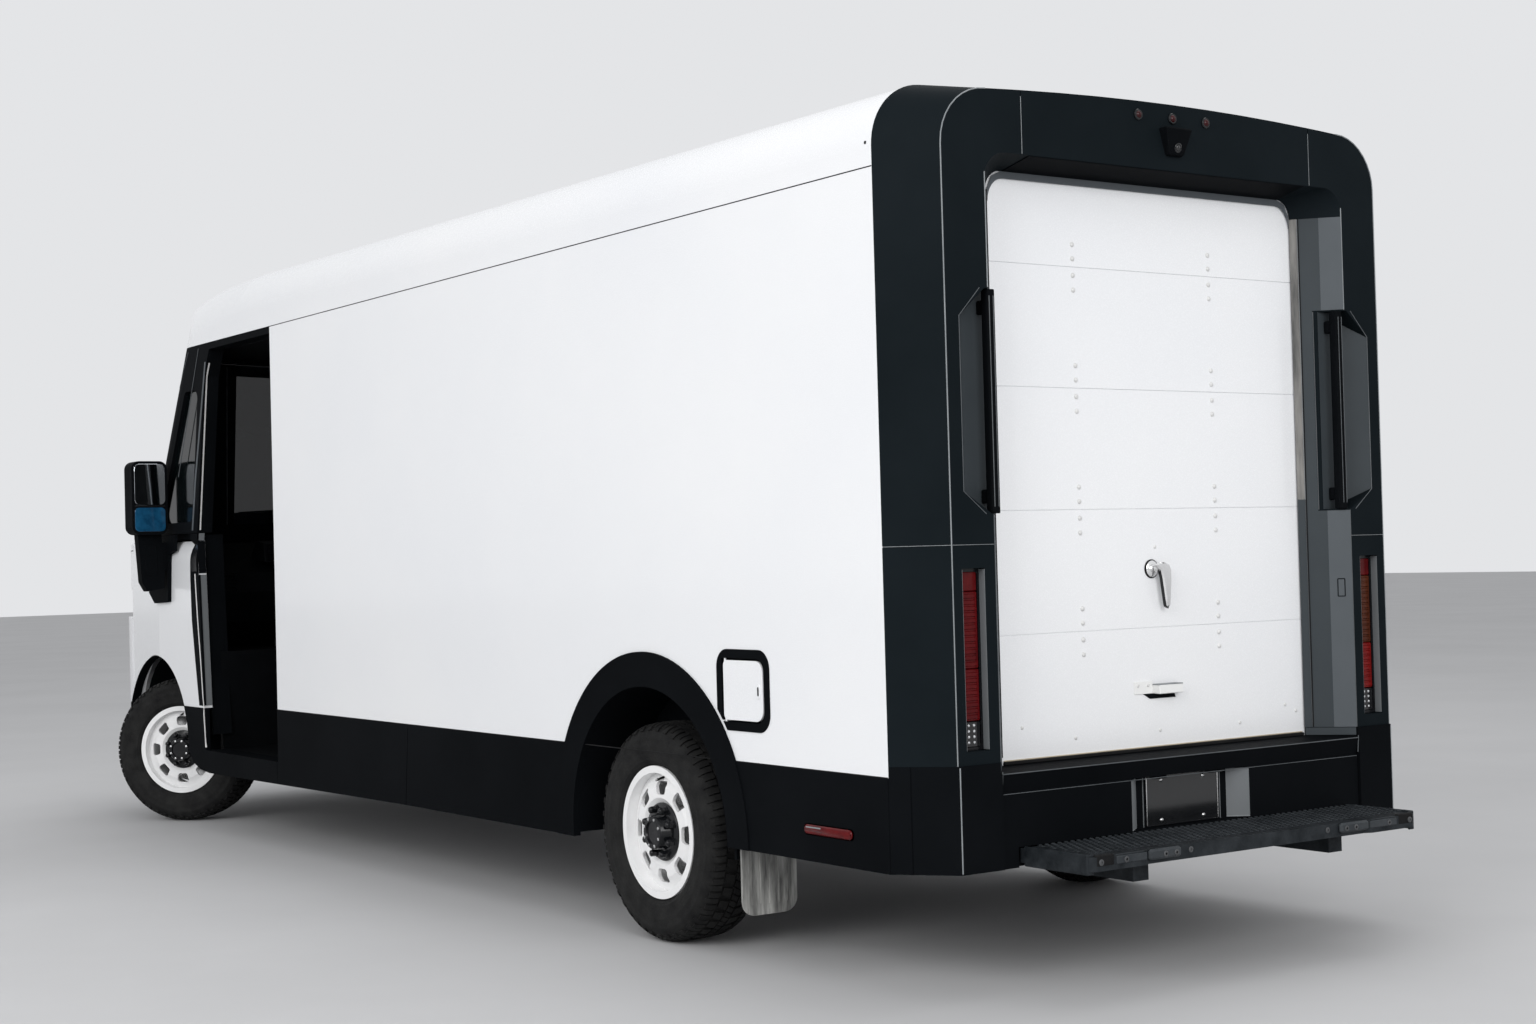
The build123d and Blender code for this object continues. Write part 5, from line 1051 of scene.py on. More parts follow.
def door_fittings():
    """Window rubbers and flush handles, outside and inside, on both sliding doors."""
    for hand, name in ((1, "left"), (-1, "right")):
        body = f"door_{name}"
        low, high = span(f"door_glass_{name}")
        window_ring(f"door_rubber_{name}", low, high, hand, body)
        panel_low, panel_high = span(body)
        face = panel_high.y if hand > 0 else panel_low.y
        piece = Piece(f"door_handle_{name}")
        x = panel_low.x + 70
        y0, y1 = sorted((face - hand * 0.2, face + hand * 0.9))
        plate = rounded(x - 20, x + 60, HANDLE_LOW, HANDLE_HIGH, 14, 4)
        grip = rounded(x - 14, x + 44, HANDLE_LOW + 7, HANDLE_HIGH - 7, 10, 4)
        piece.prism(TRIM_SMOOTH, plate, "y", y0, y1, 0.3)
        piece.prism(JAMB_GREY, grip, "y", *sorted((y1 if hand > 0 else y0, face)), 0.2)
        inner = panel_low.y if hand > 0 else panel_high.y
        piece.prism(TRIM_SMOOTH, plate, "y", *sorted((inner + hand * 0.2, inner - hand * 0.9)), 0.3)
        piece.done(body, "dark_trim")


def mirror_glasses():
    """Flat and convex glasses on each head's rear face, the convex one blue for a painted sky reflection, with
    the gap between, and a strip on the paddle.
    """
    y0, y1 = SIDE + 24, SIDE + 204
    x = MIRROR_X
    piece = Piece("mirror_glass")
    for look, low, high, radius in ((MIRROR, 148, 351, 26), (SKY_REFLECTION_GLASS, 16, 134, 22)):
        piece.prism(look, rounded(y0 + 13, y1 - 13, BELT + low, BELT + high, radius, 5), "x", x - 2.5,
                    x + 0.5, 1)
    piece.pair("body", "window_glass")
    frames = Piece("mirror_frames")
    frames.box(TRIM_SMOOTH, (x - 4, y0 + 14, BELT + 137), (x - 0.1, y1 - 14, BELT + 145), 1)
    frames.prism(TRIM, rounded(y0 + 44, y1 - 74, 1245, 1400, 16, 4), "x", PADDLE_X - 2.2, PADDLE_X + 0.1, 1)
    frames.pair("body", "dark_trim")


front_jambs()
door_fittings()
mirror_glasses()


# ---------------------------------------------------------------- cab inside
WHEEL_HUB = Vector(JOINTS["steering_wheel_turn"]["pos_m"])
CUSHION_LOW, CUSHION_HIGH = span("seat_cushion")
CUSHION_Y = (CUSHION_LOW.y + CUSHION_HIGH.y) / 2
BULKHEAD = span("bulkhead")[1].x
FLOOR_Z = span("floor")[1].z


def steering_fittings():
    """The steering wheel's hub and switches, in its own tilted frame, and the column's shroud and stalks."""
    axis = Vector(JOINTS["steering_wheel_turn"]["axis"]).normalized()
    side = Vector((0, 1, 0))
    up = axis.cross(side)
    place = Matrix(((side.x, up.x, axis.x, WHEEL_HUB.x), (side.y, up.y, axis.y, WHEEL_HUB.y),
                    (side.z, up.z, axis.z, WHEEL_HUB.z), (0, 0, 0, 1))) @ Matrix.Scale(MM, 4)
    piece = Piece("steering_pad", place)
    piece.prism(CAB, rounded(-74, 74, -66, 58, 40, 6), "z", 6, 32, 7)
    piece.prism(TRIM_SMOOTH, rounded(-20, 20, -16, 16, 10, 5), "z", 31.8, 33.2, 0.6)
    for hand in (-1, 1):
        piece.prism(TRIM_SMOOTH, rounded(hand * 112 - 22, hand * 112 + 22, -12, 12, 6, 3), "z", 6.5, 10, 1)
    piece.done("steering_wheel", "cab_plastic")
    stalks = Piece("column_stalks")
    centre = (WHEEL_HUB - ORIGIN) / MM
    for hand in (-1, 1):
        root = centre - axis * 60
        tip = centre - axis * 72 + Vector((0, hand * 168, 10))
        stalks.tube(CAB, smooth_path([root, root + Vector((0, hand * 70, 4)), tip], 4), 7, 8)
    shroud = [root + side * 46 * math.cos(t) + up * 52 * math.sin(t)
              for t in (math.tau * n / 16 for n in range(16))]
    back = [point - axis * 190 for point in shroud]
    front = [centre - axis * 42 + (point - root) * 0.8 for point in shroud]
    stalks.stack(CAB, [front, shroud, back])
    stalks.done("body", "cab_plastic")


def dash_fittings():
    """Instrument hood and display, centre display, vents, switches and the glove box lid."""
    piece = Piece("dash_displays")
    hood = [(4585, 1303), (4440, 1300), (4452, 1392), (4560, 1410), (4640, 1326)]
    piece.prism(CAB, hood, "y", 270, 570, 5)
    piece.prism(SCREEN, [(4437, 1308), (4448.6, 1384), (4444, 1386), (4433, 1308)], "y", 285, 555)
    tilt = [(4455, 1262), (4480, 1452), (4464, 1455), (4438, 1266)]
    piece.prism(CAB, tilt, "y", -150, 150, 3)
    piece.prism(SCREEN, [(4438.5, 1274), (4462, 1446), (4460, 1446.6), (4436.5, 1275)], "y", -140, 140)
    piece.box(CAB, (4462, -40, 1250), (4520, 40, 1400), 4)
    piece.done("body", "cab_plastic")
    vents = Piece("dash_vents")
    for y in (-800, -230, 240, 800):
        for near in (y - 68, y + 60):
            vents.prism(TRIM_SMOOTH, [(4392, 1152), (4424, 1246), (4446, 1240), (4416, 1150)], "y",
                        near, near + 8)
        for number in range(5):
            x, z = 4396 + 6.4 * number, 1160 + 18.5 * number
            vents.prism(CAB, [(x - 2, z), (x + 24, z - 8), (x + 24, z - 4), (x - 2, z + 4)], "y",
                        y - 60, y + 60)
    for number in range(6):
        y = -110 + 44 * number
        vents.prism(TRIM_SMOOTH, [(4395, 1175), (4403, 1200), (4412, 1198), (4404, 1173)], "y", y - 16, y + 16)
    vents.done("body", "cab_plastic")
    lid = Piece("glove_lid")
    lid.prism(CAB, [(4472, 1012), (4404, 1138), (4398, 1135), (4467, 1008)], "y", -820, -300, 2)
    lid.box(TRIM_SMOOTH, (4399, -590, 1116), (4408, -530, 1130), 2)
    lid.prism(CAB, [(4640, 893), (4480, 994), (4476, 988), (4636, 886)], "y", -240, 240, 2)
    lid.done("body", "cab_plastic")


def floor_fittings():
    """Pedals, console, floor mat and the step treads."""
    pedals = Piece("pedals")
    for y, z, wide in ((330, 748, 34), (440, 772, 46)):
        pedals.tube(FRAME_STEEL, smooth_path([(4650, y, 915), (4640, y, 840), (4590, y, z)], 4), 7, 8)
        pad = [(4574, z - 42), (4590, z + 44), (4600, z + 42), (4584, z - 44)]
        pedals.prism(RUBBER, pad, "y", y - wide / 2, y + wide / 2, 2)
        for number in range(4):
            step = z - 30 + 20 * number
            lean = 0.19 * (step - z + 42)
            rib = [(4573 + lean, step), (4577 + lean, step + 8), (4570 + lean, step + 7)]
            pedals.prism(RUBBER, rib, "y", y - wide / 2 + 3, y + wide / 2 - 3)
    pedals.done("body", "frame_steel")
    console = Piece("console")
    console.box(CAB, (4380, -170, FLOOR_Z + 0.3), (4720, 130, 905), 16)
    console.box(CAB, (4392, -150, 900), (4560, 110, 1004), 12)
    for y in (-90, 40):
        console.lathe(TRIM_SMOOTH, (4420, y, 1003), (0, 0, 1),
                      [(44, 0), (44, 4), (38, 4), (36, -30), (2, -30)], 24)
    console.done("body", "cab_plastic")
    mat = Piece("cab_mat")
    mat.box(RUBBER, (3118, -505, FLOOR_Z + 0.2), (4376, 505, FLOOR_Z + 5), 2)
    for number in range(26):
        x = 3140 + 46 * number
        mat.box(RUBBER, (x, -490, FLOOR_Z + 4.8), (x + 16, 490, FLOOR_Z + 7.2), 1)
    mat.done("body", "flap_rubber")
    treads = Piece("step_treads")
    for hand in (1, -1):
        treads.box(ALLOY, (3170, hand * 548, SILL + 0.3), (4060, hand * 926, SILL + 3), 1)
        for row in range(12):
            for column in range(27):
                x, y = 3190 + 32 * column + row % 2 * 16, hand * (564 + 31 * row)
                treads.box(ALLOY, (x, y - 2, SILL + 2.8), (x + 18, y + 2, SILL + 4.6))
    treads.done("body", "floor_metal")


def bulkhead_fittings():
    """The bulkhead's door with its window and pull, its fixings, and the two grab rails."""
    door = Piece("bulkhead_door")
    face = BULKHEAD
    door.box(LINING, (face + 0.2, -380, FLOOR_Z + 14), (face + 8, 380, 2300), 3)
    door.box(ALLOY, (face + 8, -360, FLOOR_Z + 30), (face + 10, 360, FLOOR_Z + 260), 1)
    door.prism(SCREEN, rounded(-190, 190, 1560, 2000, 50, 6), "x", face + 7.5, face + 10, 1)
    door.prism(RUBBER, rounded(-204, 204, 1546, 2014, 60, 6), "x", face + 7, face + 9, 0.8)
    door.box(TRIM_SMOOTH, (face + 8, 300, 1180), (face + 26, 340, 1340), 6)
    for z in (1060, 1480, 2080):
        for y in (-640, -820, 640, 820):
            door.dome(LINING, (face, y, z), (1, 0, 0), 7, 3, 10, 3)
    door.done("body", "inner_panel")
    rails = Piece("grab_rails")
    for hand in (1, -1):
        y = hand * 880
        path = [(face + 1, y, 1040), (face + 46, y, 1050), (face + 58, y, 1100), (face + 58, y, 1740),
                (face + 46, y, 1790), (face + 1, y, 1800)]
        rails.tube(TRIM_SMOOTH, smooth_path(path, 5), 14, 12)
        for z in (1040, 1800):
            rails.rod(TRIM_SMOOTH, (face + 0.2, y, z), (face + 8, y, z), 26, 16, 2)
    rails.done("body", "cab_plastic")


def seat_fittings():
    """The seat's runners, covers and pan, and the belt's buckle, reel and upper guide."""
    frame_piece = Piece("seat_frame")
    low, high, middle, face = CUSHION_LOW, CUSHION_HIGH, CUSHION_Y, BULKHEAD
    for hand in (-1, 1):
        y = middle + hand * 196
        frame_piece.box(FRAME_STEEL, (low.x + 30, y - 16, FLOOR_Z + 5), (high.x - 60, y + 16, FLOOR_Z + 22), 3)
        outer = middle + hand * 246
        frame_piece.prism(CAB, rounded(low.x + 10, low.x + 250, low.z - 40, low.z + 70, 30, 5), "y", outer - 9,
                          outer + 9, 3)
    frame_piece.box(FRAME_STEEL, (low.x + 60, middle - 200, low.z - 12),
                    (high.x - 60, middle + 200, low.z - 0.6), 3)
    frame_piece.box(CAB, (low.x + 90, middle - 170, FLOOR_Z + 22), (high.x - 90, middle + 170, FLOOR_Z + 60), 6)
    frame_piece.done("body", "frame_steel")
    buckle = Piece("belt_parts")
    buckle.box(FRAME_STEEL, (low.x + 60, middle - 275, low.z - 70), (low.x + 84, middle - 268, low.z + 90), 2)
    buckle.box(CAB, (low.x + 52, middle - 282, low.z + 84), (low.x + 92, middle - 262, low.z + 138), 5)
    buckle.box(FRAME_STEEL, (low.x + 60, middle - 268, low.z - 64), (low.x + 84, middle - 250, low.z - 44), 2)
    buckle.box(CAB, (face + 0.2, middle + 246, 900), (face + 60, middle + 316, 1010), 8)
    buckle.box(CAB, (face + 0.2, middle + 256, 1740), (face + 30, middle + 306, 1800), 6)
    buckle.done("body", "cab_plastic")


steering_fittings()
dash_fittings()
floor_fittings()
bulkhead_fittings()
seat_fittings()


# ---------------------------------------------------------------- front end
SCREEN_NOSE = 5138.3          # the windscreen's outer face at its foot, on the centre line
RAKE = 560 / 912              # its lean, run over rise
BOW_R = 2160                  # its bow in plan
FACE_BOW = 2125               # bow of the bumper and the face
SCREEN_LOW, SCREEN_HIGH = span("windscreen")
MARKER_Y = (-700, -150, 0, 150, 700)  # clearance lamps over the windscreen


def screen_x(y, z, off=0.0):
    """The windscreen's outer face."""
    return SCREEN_NOSE - BOW_R + math.sqrt(BOW_R ** 2 - y * y) - (z - BELT) * RAKE + off


def bow_x(nose, y):
    """How far forward a bowed face reaches at y, from its nose on the centre line."""
    return nose - FACE_BOW + math.sqrt(FACE_BOW ** 2 - y * y)


def screen_strip(piece, look, corners, off, thick, steps=24):
    """A band on the windscreen, from a lower line to an upper line of (y, z) pairs."""
    (ya, za), (yb, zb), (yc, zc), (yd, zd) = corners
    loops = []
    for step in range(steps + 1):
        t = step / steps
        low = (ya + (yb - ya) * t, za + (zb - za) * t)
        high = (yd + (yc - yd) * t, zd + (zc - zd) * t)
        loops.append([(screen_x(*low, off), *low), (screen_x(*high, off), *high),
                      (screen_x(*high, off + thick), *high), (screen_x(*low, off + thick), *low)])
    piece.stack(look, loops)


def windscreen_fittings():
    """Black ceramic border and two parked wipers."""
    low, high = SCREEN_LOW.z + 1, SCREEN_HIGH.z - 1
    half = SCREEN_HIGH.y - 1
    band = Piece("screen_border")
    for z0, z1 in ((low, low + 62), (high - 54, high)):
        corners = [(-half + 40, z0), (half - 40, z0), (half - 40, z1), (-half + 40, z1)]
        screen_strip(band, SCREEN, corners, 0.2, 1.2)
    for hand in (-1, 1):
        screen_strip(band, SCREEN, [(hand * (half - 46), low + 70), (hand * half, low + 90),
                                    (hand * half, high - 90), (hand * (half - 46), high - 60)], 0.2, 1.2, 6)
    band.done("body", "dark_trim")
    wipers = Piece("wipers")
    for pivot, reach in ((-80, -640), (560, -640)):
        root = Vector((screen_x(pivot, low, 12), pivot, low + 8))
        wipers.rod(TRIM_SMOOTH, root + Vector((-16, 0, -18)), root + Vector((12, 0, 8)), 15, 14, 2)
        arm, blade = [], []
        for step in range(9):
            t = step / 8
            y, z = pivot + reach * 0.55 * t, low + 18 + 62 * t
            arm.append((screen_x(y, z, 22), y, z))
            y, z = pivot + reach * (0.12 + 0.86 * t), low + 62 + 26 * t
            blade.append((screen_x(y, z, 8), y, z))
        wipers.tube(TRIM_SMOOTH, [root + Vector((8, 0, 6))] + arm, 6, 8)
        wipers.tube(TRIM_SMOOTH, blade, 5.5, 8)
        wipers.tube(RUBBER, [Vector(point) - Vector((4, 0, 2)) for point in blade], 3, 6)
        wipers.tube(TRIM_SMOOTH, [arm[-1], Vector(blade[4]) + Vector((4, 0, 0))], 5, 8)
    wipers.done("body", "dark_trim")


def cowl_grille():
    """Slats over the fresh air intake in the deck ahead of the windscreen."""
    piece = Piece("cowl_slats")
    top = span("cowl")[1].z
    for number in range(30):
        y = -580 + 40 * number
        piece.box(CAB, (5150, y, top + 0.1), (5176, y + 24, top + 2.5), 0.8)
    piece.done("body", "dark_trim")


def lamp_units():
    """Each headlamp: a black tray, two round projectors, a bright strip along the top and a clear cover."""
    low, high = span("headlamps")
    nose = span("front_face")[1].x
    y_in, y_out = high.y - 270, high.y
    tray = Piece("headlamp_trays")
    lights_on = Piece("headlamp_optics")
    cover = Piece("headlamp_covers")

    def face_x(y, off):
        return bow_x(nose, y) + off

    def sweep(piece, look, y0, y1, z0, z1, off0, off1, steps=10):
        loops = []
        for step in range(steps + 1):
            y = y0 + (y1 - y0) * step / steps
            loops.append([(face_x(y, off0), y, z0), (face_x(y, off0), y, z1), (face_x(y, off1), y, z1),
                          (face_x(y, off1), y, z0)])
        piece.stack(look, loops)
    sweep(tray, SCREEN, y_in + 1, y_out - 1, low.z + 1, high.z - 1, -54, -44)
    for z in (low.z + 1, high.z - 9):
        sweep(tray, TRIM_SMOOTH, y_in + 1, y_out - 1, z, z + 8, -46, -3)
    sweep(lights_on, CLEAR, y_in + 12, y_out - 12, high.z - 26, high.z - 14, -44, -8)
    middle = (low.z + high.z) / 2 - 8
    for y in (y_in + 72, y_in + 176):
        x = face_x(y, -44)
        lights_on.lathe(STEEL, (x, y, middle), (1, 0, 0), [(30, 0), (30, 22), (26, 26), (24, 14)], 24)
        lights_on.dome(SCREEN, (x + 10, y, middle), (1, 0, 0), 24, 15, 24, 5)
    sweep(cover, COVER, y_in + 1, y_out - 1, low.z + 1, high.z - 1, -1, 3)
    for piece, slot, replaced in ((tray, "dark_trim", ("headlamps",)), (lights_on, "clear_lens", ()),
                                  (cover, "clear_lens", ())):
        piece.pair("body", slot, replaced)


def bumper_fittings():
    """Slatted intake in the valance, the fog lamps, round sensors and a tow eye's cover."""
    valance_low, valance_high = span("front_valance")
    nose = valance_high.x
    grille = Piece("front_grille")
    for number in range(6):
        z = valance_low.z + 66 + number * 30
        path = [(bow_x(nose, y) + 1.5, y, z) for y in range(-620, 621, 62)]
        grille.tube(TRIM_SMOOTH, path, 6, 6)
    for y in (-620, -310, 0, 310, 620):
        x = bow_x(nose, y)
        grille.box(TRIM_SMOOTH, (x - 4, y - 7, valance_low.z + 50), (x + 8, y + 7, valance_low.z + 232), 2)
    grille.done("body", "dark_trim")
    fogs = Piece("fog_lamps")
    for hand in (-1, 1):
        y = hand * 740
        x = bow_x(nose, y)
        lean = Vector((1, hand * 0.36, 0))
        fogs.lathe(TRIM_SMOOTH, (x - 6, y, valance_low.z + 150), lean,
                   [(52, 0), (52, 10), (46, 16), (38, 12)], 28)
        fogs.dome(CLEAR, (x + 3, y, valance_low.z + 150), lean, 38, 7, 28, 4)
    fogs.done("body", "clear_lens")
    face = span("front_bumper")[1].x
    dots = Piece("bumper_sensors")
    for y in (-690, -270, 270, 690):
        lean = Vector((1, y / FACE_BOW, 0))
        dots.lathe(TRIM_SMOOTH, (bow_x(face, y) - 0.5, y, 700), lean,
                   [(14, 0), (14, 1.6), (10, 2.2), (9, 1.2)], 20)
    dots.prism(WHITE, rounded(420, 500, 800, 880, 8, 3), "x", bow_x(face, 460) - 6, bow_x(face, 500) + 6.5, 1)
    dots.done("body", "dark_trim")


def roof_markers():
    """Five amber clearance lamps over the windscreen, set on the cap by a ray from above."""
    piece = Piece("clearance_lamps")
    cap = NODES["front_roof_cap"]
    for y in MARKER_Y:
        start = AXLE @ Vector((4500 if abs(y) < 400 else 4400, y, 3000))
        place = cap.matrix_world.inverted() @ start
        hit, spot, normal, _ = cap.ray_cast(place, Vector((0, 0, -1)))
        if hit:
            at = AXLE.inverted() @ (cap.matrix_world @ spot)
            piece.lathe(TRIM_SMOOTH, at - normal * 3, normal, [(30, 0), (30, 5), (25, 7)], 20)
            piece.dome(AMBER, at + normal * 3, normal, 22, 12, 20, 4)
    piece.done("body", "red_lens")


windscreen_fittings()
cowl_grille()
lamp_units()
bumper_fittings()
roof_markers()


# ---------------------------------------------------------------- underbody
def battery_fittings():
    """Ribs and bolts under the pack, its side brackets and the two coolant pipes along it."""
    piece = Piece("battery_ribs")
    low, high = span("battery_pack")
    count = 10
    pitch = (high.x - low.x - 120) / count
    for number in range(count + 1):
        x = low.x + 40 + pitch * number
        piece.box(ALLOY, (x, low.y + 24, low.z - 9), (x + 40, high.y - 24, low.z - 0.2), 3)
    for number in range(22):
        x = low.x + 70 + number * (high.x - low.x - 140) / 21
        for hand in (-1, 1):
            piece.bolt(STEEL, (x, hand * (high.y - 12), low.z - 0.2), (0, 0, -1), 6, 7)
    for number in range(6):
        x = low.x + 160 + number * (high.x - low.x - 380) / 5
        for hand in (-1, 1):
            piece.box(FRAME_STEEL, (x, hand * (high.y - 2), 396), (x + 90, hand * (high.y + 62), 423.6), 3)
            piece.bolt(STEEL, (x + 45, hand * (high.y + 34), 396), (0, 0, -1), 9, 9)
    piece.done("body", "floor_metal")
    pipes = Piece("coolant_pipes")
    for z in (470, 505):
        path = [(low.x - 320, 452, z), (low.x, 452, z), (high.x - 40, 452, z), (high.x + 160, 452, z - 12),
                (high.x + 300, 452, z - 12)]
        pipes.tube(RUBBER, smooth_path(path, 6), 11, 10)
    for number in range(7):
        x = low.x - 200 + number * (high.x - low.x + 360) / 6
        pipes.box(FRAME_STEEL, (x, 439.8, 448), (x + 24, 466, 526), 3)
    pipes.done("body", "flap_rubber")


def suspension():
    """More leaves and U-bolts on the rear springs, shock absorbers, and coil struts over the front arms."""
    wheel_z = TYRE_R
    rear = Piece("rear_springs")
    for number, reach in enumerate((500, 380, 250)):
        rear.box(FRAME_STEEL, (-reach, 482, wheel_z + 40 - 10 * (number + 1)),
                 (reach, 548, wheel_z + 40 - 10 * number - 0.6), 2)
    for x in (-44, 44):
        bolt = [(x, 474, wheel_z - 62), (x, 474, wheel_z + 60), (x, 482, wheel_z + 74), (x, 548, wheel_z + 74),
                (x, 556, wheel_z + 60), (x, 556, wheel_z - 62)]
        rear.tube(STEEL, smooth_path(bolt, 4), 7, 8)
    rear.box(FRAME_STEEL, (-66, 464, wheel_z - 62), (66, 566, wheel_z - 50), 3)
    rear.tube(FRAME_STEEL, [(90, 452, wheel_z - 20), (240, 452, 520)], 22, 14)
    rear.tube(STEEL, [(60, 452, wheel_z - 50), (100, 452, wheel_z - 8)], 10, 10)
    rear.box(FRAME_STEEL, (216, 441, 500), (262, 462, 560), 4)
    rear.pair("body", "frame_steel")
    front = Piece("front_springs")
    base = span("front_axle")[0].x + 190
    spring = [(base + 46 * math.cos(turn), 560 + 46 * math.sin(turn), 300 + 22 * turn)
              for turn in (math.tau * n / 14 for n in range(int(14 * 1.75)))]
    front.tube(FRAME_STEEL, spring, 8, 8)
    front.rod(STEEL, (base, 560, 264), (base, 560, 470), 15, 12)
    front.rod(FRAME_STEEL, (base, 560, 264), (base, 560, 298), 56, 20, 3)
    front.pair("body", "frame_steel")


battery_fittings()
suspension()


# ---------------------------------------------------------------- cab ceiling
def headliner():
    """The cab's dark ceiling and the inner trim over each front pillar, with a line of painted highlight along
    its seam.
    """
    liner = Piece("headliner")
    liner.box(CAB, (BULKHEAD + 2, -925, 2332), (4440, 925, 2342), 3)
    for hand in (1, -1):
        screen_strip(liner, CAB, [(hand * 520, 1480), (hand * 770, 1480), (hand * 800, 2300),
                                  (hand * 700, 2300)], -64, 12, 4)
        # A line of painted highlight along the pillar trim's seam.
        line = [(screen_x(hand * y, z, -66), hand * y, z) for y, z in ((562, 1480), (758, 2290))]
        liner.tube(EDGE_HIGHLIGHT_DIM, line, 2.4, 6)
    liner.done("body", "cab_plastic")


headliner()


# ---------------------------------------------------------------- the driver's seat
PAD_SHRINK = 0.93             # each pad starts this much smaller than its solid, and swells back
PAD_VOXEL, PAD_SWELL = 0.008, 0.024
PAD_PRESSURE, PAD_FRAMES = 4, 20


def padded_pad(node, name):
    """A CAD pad taken in a little and blown up as cloth, with a cap on how far it swells."""
    solid = NODES[node]
    obj = bpy.data.objects.new(name, solid.data.copy())
    bpy.context.collection.objects.link(obj)
    obj.matrix_world = solid.matrix_world.copy()
    place, back = solid.matrix_world, solid.matrix_world.inverted()
    middle = sum((place @ Vector(corner) for corner in solid.bound_box), Vector()) / 8
    for vertex in obj.data.vertices:
        vertex.co = back @ (middle + (place @ vertex.co - middle) * PAD_SHRINK)
    bpy.ops.object.select_all(action="DESELECT")
    bpy.context.view_layer.objects.active = obj
    obj.select_set(True)
    remesh = obj.modifiers.new("grid", "REMESH")
    remesh.mode = "VOXEL"
    remesh.voxel_size = PAD_VOXEL
    bpy.ops.object.modifier_apply(modifier=remesh.name)
    start = [vertex.co.copy() for vertex in obj.data.vertices]
    cloth = obj.modifiers.new("swell", "CLOTH")
    cloth.settings.use_pressure = True
    cloth.settings.uniform_pressure_force = PAD_PRESSURE
    cloth.settings.effector_weights.gravity = 0
    scene = bpy.context.scene
    for number in range(1, PAD_FRAMES + 1):
        scene.frame_set(number)
    bpy.ops.object.modifier_apply(modifier=cloth.name)
    scene.frame_set(1)
    for vertex, origin in zip(obj.data.vertices, start):
        move = vertex.co - origin
        if move.length > PAD_SWELL:
            vertex.co = origin + move * (PAD_SWELL / move.length)
    obj.data.materials.clear()
    obj.data.materials.append(CLOTH)
    for polygon in obj.data.polygons:
        polygon.use_smooth = True
        polygon.material_index = 0
    smooth = obj.modifiers.new("fine", "SUBSURF")
    smooth.levels = smooth.render_levels = 1
    bpy.ops.object.modifier_apply(modifier=smooth.name)
    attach(obj, "body")
    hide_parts(node)


padded_pad("seat_cushion", "cushion_pad")
padded_pad("seat_back", "back_pad")


# ---------------------------------------------------------------- stage, camera, light
EYE = (-8.0792, 4.7779, 1.2653)  # the camera's place in metres
YAW, PITCH, ROLL = -0.6075, 0.0200, -0.0267
LENS = 50.84                  # on a sensor 36 mm wide
SKY_ON_OBJECT, SKY_SEEN = 0.66, 0.86


def stage():
    """A pale floor, wide enough for every view."""
    mesh = bpy.data.meshes.new("floor_stage")
    reach = 60.0
    mesh.from_pydata([(-reach, -reach, 0), (reach, -reach, 0), (reach, reach, 0), (-reach, reach, 0)], [],
                     [(0, 1, 2, 3)])
    ground = bpy.data.objects.new("floor_stage", mesh)
    bpy.context.collection.objects.link(ground)
    made, nodes, links, shader = new_material("stage_floor")
    shader.inputs["Roughness"].default_value = 0.75
    tone = noise(nodes, links, 0.6, 4.0, 0.6)
    links.new(ramp(nodes, links, tone, 0.35, 0.65, (0.50, 0.50, 0.505), (0.53, 0.53, 0.535)),
              shader.inputs["Base Color"])
    mesh.materials.append(made)


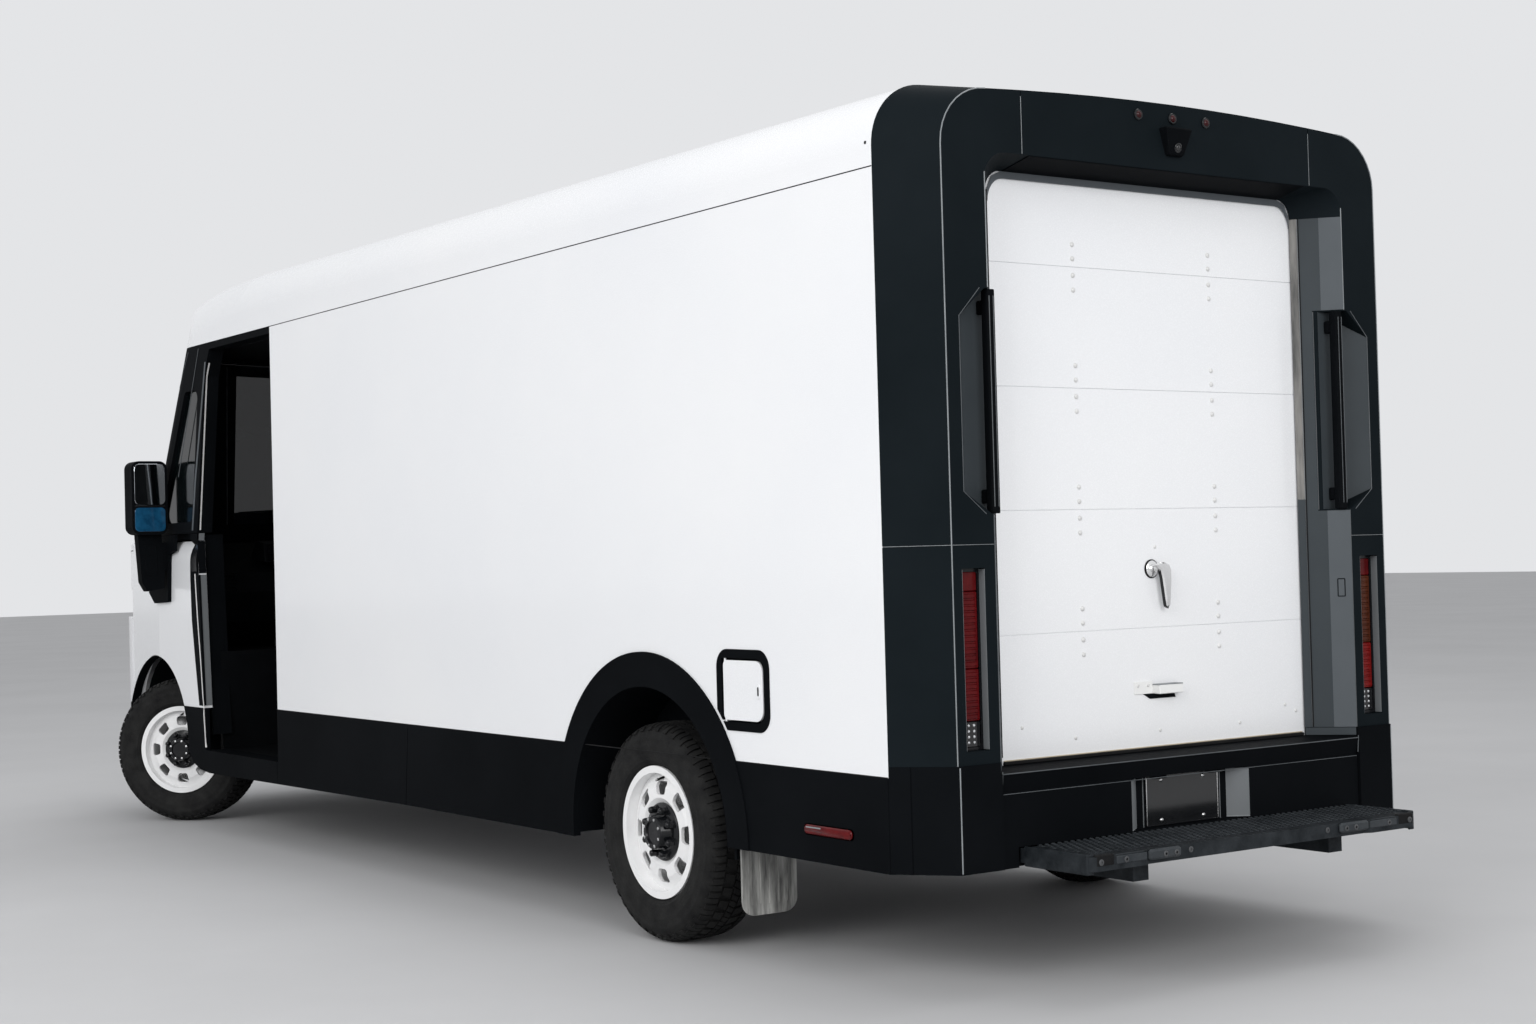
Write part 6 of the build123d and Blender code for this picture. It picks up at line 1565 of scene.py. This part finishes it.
def camera():
    """The photograph's viewpoint: low behind the left rear corner, with a moderately long lens."""
    ahead = Vector((math.cos(PITCH) * math.cos(YAW), math.cos(PITCH) * math.sin(YAW), math.sin(PITCH)))
    level = Vector((math.sin(YAW), -math.cos(YAW), 0))
    up = level.cross(ahead)
    right = math.cos(ROLL) * level + math.sin(ROLL) * up
    upright = -math.sin(ROLL) * level + math.cos(ROLL) * up
    data = bpy.data.cameras.new("view")
    data.lens = LENS
    data.sensor_width = 36.0
    data.clip_end = 200.0
    eye = bpy.data.objects.new("view", data)
    eye.matrix_world = Matrix.Translation(EYE) @ Matrix((right, upright, -ahead)).transposed().to_4x4()
    bpy.context.collection.objects.link(eye)
    bpy.context.scene.camera = eye


def area_light(name, place, target, size, power):
    """A soft box at place, in metres, that faces target."""
    data = bpy.data.lights.new(name, "AREA")
    data.shape = "RECTANGLE"
    data.size, data.size_y = size
    data.energy = power
    lamp = bpy.data.objects.new(name, data)
    aim = (Vector(target) - Vector(place)).to_track_quat("-Z", "Y")
    lamp.matrix_world = Matrix.Translation(place) @ aim.to_matrix().to_4x4()
    bpy.context.collection.objects.link(lamp)


def lights():
    """Even studio light: a sky brighter for camera and gloss than on the object, and three soft boxes."""
    world = bpy.data.worlds.new("studio")
    bpy.context.scene.world = world
    world.use_nodes = True
    nodes, links = world.node_tree.nodes, world.node_tree.links
    background = nodes["Background"]
    path = nodes.new("ShaderNodeLightPath")
    seen, glossy = nodes.new("ShaderNodeMath"), nodes.new("ShaderNodeMath")
    seen.operation = glossy.operation = "MAXIMUM"
    seen.use_clamp = True
    links.new(path.outputs["Is Camera Ray"], glossy.inputs[0])
    links.new(path.outputs["Is Glossy Ray"], glossy.inputs[1])
    links.new(glossy.outputs[0], seen.inputs[0])
    links.new(path.outputs["Is Transmission Ray"], seen.inputs[1])
    background.inputs["Color"].default_value = (0.90, 0.91, 0.93, 1)
    strength = nodes.new("ShaderNodeMapRange")
    strength.inputs["To Min"].default_value = SKY_ON_OBJECT
    strength.inputs["To Max"].default_value = SKY_SEEN
    links.new(seen.outputs[0], strength.inputs["Value"])
    links.new(strength.outputs["Result"], background.inputs["Strength"])
    area_light("key", (-6, 13, 7), (-0.5, 0.5, 1.0), (11, 7), 1000)
    area_light("tail", (-13, 3, 5), (-3.5, 0, 1.3), (7, 5), 520)
    area_light("top", (0, -3, 12), (0, 0, 1.5), (12, 8), 340)


stage()
camera()
lights()
bpy.context.scene.view_settings.view_transform = "Standard"
